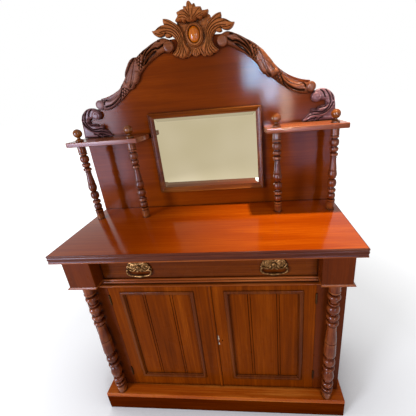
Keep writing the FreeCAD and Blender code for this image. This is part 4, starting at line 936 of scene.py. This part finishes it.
def crest():
    """Cartouche: a plain ground and an oval rim round the boss, a spray of ribs each side and lobes below."""
    shapes = [relief(placed(on_crest, 1, GROUND), edge=6.0, crown=8.0, shoulder=8.0,
                     cuts=gouged(on_crest, 1, GROUND_CUTS, 2.8, 3.0),
                     swells=[(x, BOSS - 64, 16.0, 5.0) for x in (-34, 0, 34)])]
    for side in (1, -1):
        shapes.append(relief(placed(on_crest, side, SPRAY), edge=17.0, crown=27.0, shoulder=12.0,
                             cuts=gouged(on_crest, side, SPRAY_CUTS, 2.8, 4.6),
                             swells=[(side * 145, BOSS + 26, 26.0, 6.0), (side * 106, BOSS + 60, 18.0, 4.0)]))
    a, b = (BOSS_X1 - BOSS_X0) / 2, (BOSS_Z1 - BOSS_Z0) / 2
    rings = [[((a + out) * u, PANEL - height, OVAL + (b + out) * v) for u, v in circle(1.0, 64)]
             for out, height in OVAL_RIM + OVAL_RIM[:1]]
    shapes.append(skin(rings, capped=False))
    carve("crest_cartouche", shapes, crest_wood)
    boss = dome(0.0, OVAL, PANEL - 12.0, a - 0.4, 19.0, flat=5.0, tall=b / a, steps=14, sides=48)
    piece("crest_boss_polished", [boss], "cabochon", amber_wood)


# The top leaf's lobes, from the lower left round the top, and its wavy lower edge.
LEAF = [
    [(-70, 51), (-66, 57)], [(-57, 67)], [(-61, 80), (-51, 84), (-41, 88)], [(-30, 89), (-31, 95)],
    [(-27, 99)], [(-17, 97), (-16, 105), (-12, 112)], [(-6, 115), (1, 110)], [(7, 100), (12, 104)],
    [(17, 104)], [(19, 92), (29, 92)], [(41, 91), (43, 85)], [(41, 78), (54, 77)],
    [(70, 79), (68, 70), (61, 63), (53, 60)], [(43, 58), (40, 52), (34, 49), (28, 52)],
    [(20, 55), (15, 48), (5, 44), (-5, 43), (-17, 45)], [(-25, 51), (-30, 46)], [(-37, 42)],
    [(-41, 50), (-49, 48), (-60, 48)],
]
LEAF_CUTS = [
    [(-4, 46), (-9, 58), (-16, 69), (-25, 78), (-36, 83), (-50, 82)],
    [(-7, 46), (-13, 56), (-24, 66), (-36, 70), (-50, 68)],
    [(-8, 46), (-20, 54), (-34, 60), (-48, 59), (-62, 53)], [(-3, 54), (-5, 70), (-6, 86), (-6, 104)],
    [(-5, 60), (-12, 76), (-20, 90), (-24, 96)], [(3, 62), (6, 78), (12, 92), (15, 100)],
    [(3, 52), (14, 64), (26, 76), (38, 87)], [(4, 49), (20, 59), (37, 67), (54, 73), (66, 76)],
    [(7, 47), (22, 55), (36, 59), (50, 65)],
]
LEAF_RIDGES = [
    [(-6, 46), (-11, 57), (-20, 68), (-30, 76), (-44, 79)], [(1, 48), (3, 60), (7, 73), (10, 86)],
]


def top_leaf():
    """The leaf over the oval, which stands well forward, its veins fanned from one root."""
    cuts = gouged(on_crest, 1, LEAF_CUTS, 2.8, 3.4) + gouged(on_crest, 1, LEAF_RIDGES, 3.6, -3.0)
    swells = [(-5, BOSS + 50, 22.0, 8.0), (-52, BOSS + 60, 16.0, 4.0), (56, BOSS + 70, 14.0, 4.0)]
    face = relief(placed(on_crest, 1, LEAF), edge=30.0, crown=40.0, shoulder=10.0, cuts=cuts, swells=swells,
                  back=11.0)
    carve("crest_leaf", [face], crest_wood)


# ------------------------------------------------------------------ handles and lock
def rod(path, radii, sides=12):
    """A cast rod through (x, y, z) points, its thickness from radii spread along it."""
    steps = len(path) * 5
    centres = [on_line(path, i / steps) for i in range(steps + 1)]
    rings = []
    for i, centre in enumerate(centres):
        way = (centres[min(i + 1, steps)] - centres[max(i - 1, 0)]).normalized()
        side = way.cross(Vector((0, 1, 0)))
        side = side.normalized() if side.length > 0.1 else Vector((1, 0, 0))
        up = side.cross(way)
        radius = on_line([(r, 0.0) for r in radii], i / steps)[0]
        rings.append([tuple(centre + side * u + up * v) for u, v in circle(radius, sides)])
    return skin(rings)


# Scrollwork of one half of a plate: (across, out, up) points from its middle, and the radii along them.
PLATE_SCROLLS = [
    ([(12, 3, 10), (24, 4, 21), (38, 4, 19), (44, 4, 8), (36, 4, 3), (30, 4, 9)],
     [3.0, 4.0, 4.2, 3.8, 3.2, 2.6]),
    ([(12, 3, -8), (22, 4, -18), (36, 4, -17), (46, 4, -8), (50, 4, 2), (44, 4, 6)],
     [3.0, 4.0, 4.0, 3.6, 3.4, 2.8]),
    ([(14, 3, 2), (22, 4, 6), (30, 4, 0), (25, 4, -7), (18, 4, -4)], [2.0, 2.4, 2.2, 2.0, 1.6]),
    ([(2, 3, 16), (10, 4, 23), (18, 4, 24)], [2.4, 2.6, 1.4]),
    ([(2, 3, -15), (8, 4, -22), (15, 4, -22)], [2.2, 2.6, 1.4]),
]
# Profiles of a plate's round boss and of the posts that carry the bail, as (radius, projection).
PLATE_BOSS = [(13.0, 2.0), (13.0, 4.5), (12.2, 5.6), (11.0, 5.0), (10.2, 5.2), (10.2, 7.0), (9.0, 9.2),
              (6.5, 10.9), (3.2, 11.8), (0.3, 12.0)]
BAIL_POST = [(6.4, 0.0), (6.4, 2.2), (4.6, 3.4), (4.0, 9.0), (4.8, 10.0), (4.8, 12.0), (3.4, 13.4),
             (0.3, 14.0)]
# One half of a bail from its lowest point to its pivot, as (share of its half width, drop, radius).
BAIL = [(0.0, 31.4, 5.8), (0.2, 31.0, 5.0), (0.5, 29.5, 3.4), (0.8, 27.0, 3.4), (1.0, 19.0, 4.0),
        (1.05, 9.0, 3.4), (1.0, 0.0, 4.0)]


def back_plate(x, z, y):
    """Scalloped cast plate with pierced-looking scrollwork and a domed boss."""
    outline = []
    for u, v in circle(1.0, 72):
        a = math.atan2(v, u)
        swell = 1 + 0.1 * math.cos(6 * a) + 0.05 * math.cos(10 * a)
        outline.append((46 * swell * u, 22 * swell * v))
    layers = ((0.0, 1.0, 1.0), (2.6, 1.0, 1.0), (3.6, 0.96, 0.94))
    shapes = [skin([[(x + wide * u, y - h, z + tall * v) for u, v in outline] for h, wide, tall in layers])]
    for side in (-1, 1):
        for path, radii in PLATE_SCROLLS:
            shapes.append(rod([(x + side * u, y - out + 1.0, z + v) for u, out, v in path], radii, sides=10))
        shapes.append(dome(x + side * 24, z - 1, y - 2.0, 3.4, 4.0, steps=5, sides=14))
    shapes.append(turned_forward(PLATE_BOSS, x, z, y))
    return shapes + [dome(x + u, z + v, y - 4.6, 1.5, 1.4, steps=3, sides=8) for u, v in circle(11.6, 16)]


def handles():
    drawer_face = span("drawer_front")[2]
    plate_z0, plate_z1 = span("handle_plates")[4:]
    plates = []
    for node in ("bail_left", "bail_right"):
        x0, x1, y0, y1, z0, z1 = span(node)
        middle, half = (x0 + x1) / 2, (x1 - x0) / 2 - 6.0
        pivot_y, pivot_z = (y0 + y1) / 2, z1 - 4.0
        plates += back_plate(middle, (plate_z0 + plate_z1) / 2 - 1.0, drawer_face)
        for end in (-1, 1):
            plates.append(turned_forward(BAIL_POST, middle + end * (half - 2.0), pivot_z, drawer_face))
        swing = [(-u, drop, r) for u, drop, r in reversed(BAIL)] + BAIL[1:]
        path = [(middle + u * half, pivot_y, pivot_z - drop) for u, drop, r in swing]
        beads = [dome(middle + u, pivot_z - 31.0, pivot_y + 1.0, 5.2, 5.6, steps=5, sides=14, tall=0.9)
                 for u in (-13.0, 13.0)]
        piece(node + "_cast", [rod(path, [r for u, drop, r in swing])] + beads, node, cast_brass)
    piece("handle_plates_cast", plates, "handle_plates", cast_brass, crease=50.0)


def lock_edge():
    """The worn brass edge of the lock that shows at the right door's meeting stile."""
    x0, x1, y0, y1, z0, z1 = span("door_lock")
    face = span("right_door_frame")[2]
    outline = ((0, 0), (1, 0.06), (0.7, 0.5), (1, 0.94), (0, 1))
    shapes = []
    for low, high, wide in ((z1 - 29.0, z1 - 2.0, 2.4), (z0 + 2.0, z0 + 14.0, 2.6)):
        shapes.append(skin([[(x0 + 4.2 + wide * u, face - out, low + (high - low) * v) for u, v in outline]
                            for out in (-0.5, 0.35)]))
    piece("lock_edge", shapes, "door_lock", pale_brass, extra=True)


# ------------------------------------------------------------------ the object
turnings()
boards()
top_board()
rail_bead()
side_shelves()
mirror_frame()
mirror_plate()
door_mouldings()
s_scrolls()
corner_scrolls()
crest()
top_leaf()
handles()
lock_edge()


# ------------------------------------------------------------------ room, light and camera
def seen_directly(tree):
    """1 to the camera, in a polish and through glass, and 0 to light that only spreads."""
    rays = add(tree, "LightPath").outputs
    shown = maths(tree, "MAXIMUM", rays["Is Camera Ray"], rays["Is Glossy Ray"])
    return maths(tree, "MAXIMUM", shown, rays["Is Transmission Ray"])


def pale_floor():
    """Plain pale floor. To the camera and in polish it is lifted to white, and it keeps its shadows.
    Near the cabinet the lift is cut where ambient occlusion closes in, a painted shade round its foot.
    """
    material, tree = blank("pale_floor")
    place = add(tree, "NewGeometry").outputs["Position"]
    away = add(tree, "VectorMath", {0: place}, operation="LENGTH").outputs["Value"]
    # painted shade: the glow is cut where ambient occlusion closes in, a contact shadow painted round the
    # cabinet
    near = mapped(tree, openness(tree, 0.6, samples=8), 0.5, 1.0, 0.0, 0.5)
    lift = maths(tree, "MULTIPLY", seen_directly(tree), mapped(tree, away, 1.2, 2.4, near, 1.0))
    matt = add(tree, "BsdfDiffuse", {"Color": colour("e4e4e4")})
    glow = add(tree, "Emission", {"Color": colour("ffffff"), "Strength": lift})
    both = add(tree, "AddShader", {0: matt.outputs["BSDF"], 1: glow.outputs["Emission"]})
    add(tree, "OutputMaterial", {"Surface": both.outputs["Shader"]})
    mesh = bpy.data.meshes.new("floor")
    mesh.from_pydata([(-40, -40, 0), (40, -40, 0), (40, 40, 0), (-40, 40, 0)], [], [(0, 1, 2, 3)])
    mesh.materials.append(material)
    obj = bpy.data.objects.new("floor", mesh)
    bpy.context.scene.collection.objects.link(obj)
    return obj


def studio_light(floor):
    """Plain white surroundings, a ceiling lamp over the right end, two windows, and gleams in the polish."""
    world = bpy.data.worlds.new("studio")
    bpy.context.scene.world = world
    world.use_nodes = True
    tree = world.node_tree
    tree.nodes.clear()
    strength = mapped(tree, seen_directly(tree), 0.0, 1.0, 0.3, 1.0)
    sky = add(tree, "Background", {"Color": colour("ffffff"), "Strength": strength})
    add(tree, "OutputWorld", {"Surface": sky.outputs["Background"]})

    def lamp(name, kind, place, aim, energy, tint, size, tall=0.0, spread=180):
        light = bpy.data.lights.new(name, kind)
        light.energy = energy
        light.color = colour(tint)[:3]
        if kind == "SPOT":
            light.shadow_soft_size = size
            light.spot_size = math.radians(60)
            light.spot_blend = 1.0
        else:
            light.shape = "RECTANGLE"
            light.size, light.size_y = size, tall
            light.spread = math.radians(spread)
        obj = bpy.data.objects.new(name, light)
        obj.location = place
        obj.rotation_euler = (Vector(aim) - Vector(place)).to_track_quat("-Z", "Y").to_euler()
        # a gleam shows in the polish and lights nothing
        obj.visible_diffuse = not name.endswith("gleam")
        bpy.context.scene.collection.objects.link(obj)
        return obj

    ceiling = lamp("ceiling_lamp", "SPOT", (0.53, 0.06, 2.46), (0.52, -0.02, 0.97), 145, "fff0dc", 0.03)
    lamp("left_window", "AREA", (-2.4, -2.6, 1.7), (-0.2, 0.1, 0.8), 85, "f0f3ff", 0.9, 1.2)
    lamp("front_window", "AREA", (1.5, -2.8, 2.0), (0.3, 0.1, 0.8), 34, "f2f4ff", 0.6, 0.8)
    lamp("left_gleam", "AREA", (-2.9, -3.0, 1.05), (-0.5, 0.2, 1.1), 290, "c4d6ff", 1.6, 2.0)
    lamp("low_gleam", "AREA", (1.18, -3.0, 0.75), (0.5, 0.2, 1.1), 26, "c4ccff", 0.66, 0.9)
    right = lamp("right_gleam", "AREA", (0.27, -3.0, 1.84), (0.3, 0.2, 1.52), 1.1, "9fd5ff", 0.26, 0.5, 16)
    lamp("far_gleam", "AREA", (0.54, -3.0, 1.55), (0.36, 0.2, 1.4), 0.75, "bcdcff", 0.24, 0.44, 16)
    lamp("lamp_gleam", "AREA", (0.76, -3.0, 1.3), (0.5, 0.2, 1.4), 0.4, "ffe4cb", 0.1, 0.6, 16)
    # the floor takes no light from the ceiling lamp, and the top's field no gleam from the right
    for light, thing in ((ceiling, floor), (right, bpy.data.objects["top_board_field"])):
        kept_off = bpy.data.collections.new("kept_off_the_" + light.name)
        kept_off.objects.link(thing)
        kept_off.collection_objects[0].light_linking.link_state = "EXCLUDE"
        light.light_linking.receiver_collection = kept_off


def camera():
    """A 22 mm lens a little right of the middle, tilted down and slightly rolled."""
    data = bpy.data.cameras.new("camera")
    data.sensor_width = 36
    data.lens = 22.41
    data.shift_x = -0.0521
    data.shift_y = -0.0261
    obj = bpy.data.objects.new("camera", data)
    bpy.context.scene.collection.objects.link(obj)
    turn, tilt, roll = math.radians(6.348), math.radians(-21.12), math.radians(-5.019)
    obj.matrix_world = (Matrix.Translation((0.2275, -1.0511, 1.4968)) @ Matrix.Rotation(turn, 4, "Z")
                        @ Matrix.Rotation(math.pi / 2 + tilt, 4, "X") @ Matrix.Rotation(roll, 4, "Z"))
    bpy.context.scene.camera = obj


studio_light(pale_floor())
camera()
bpy.context.scene.view_settings.view_transform = "Standard"
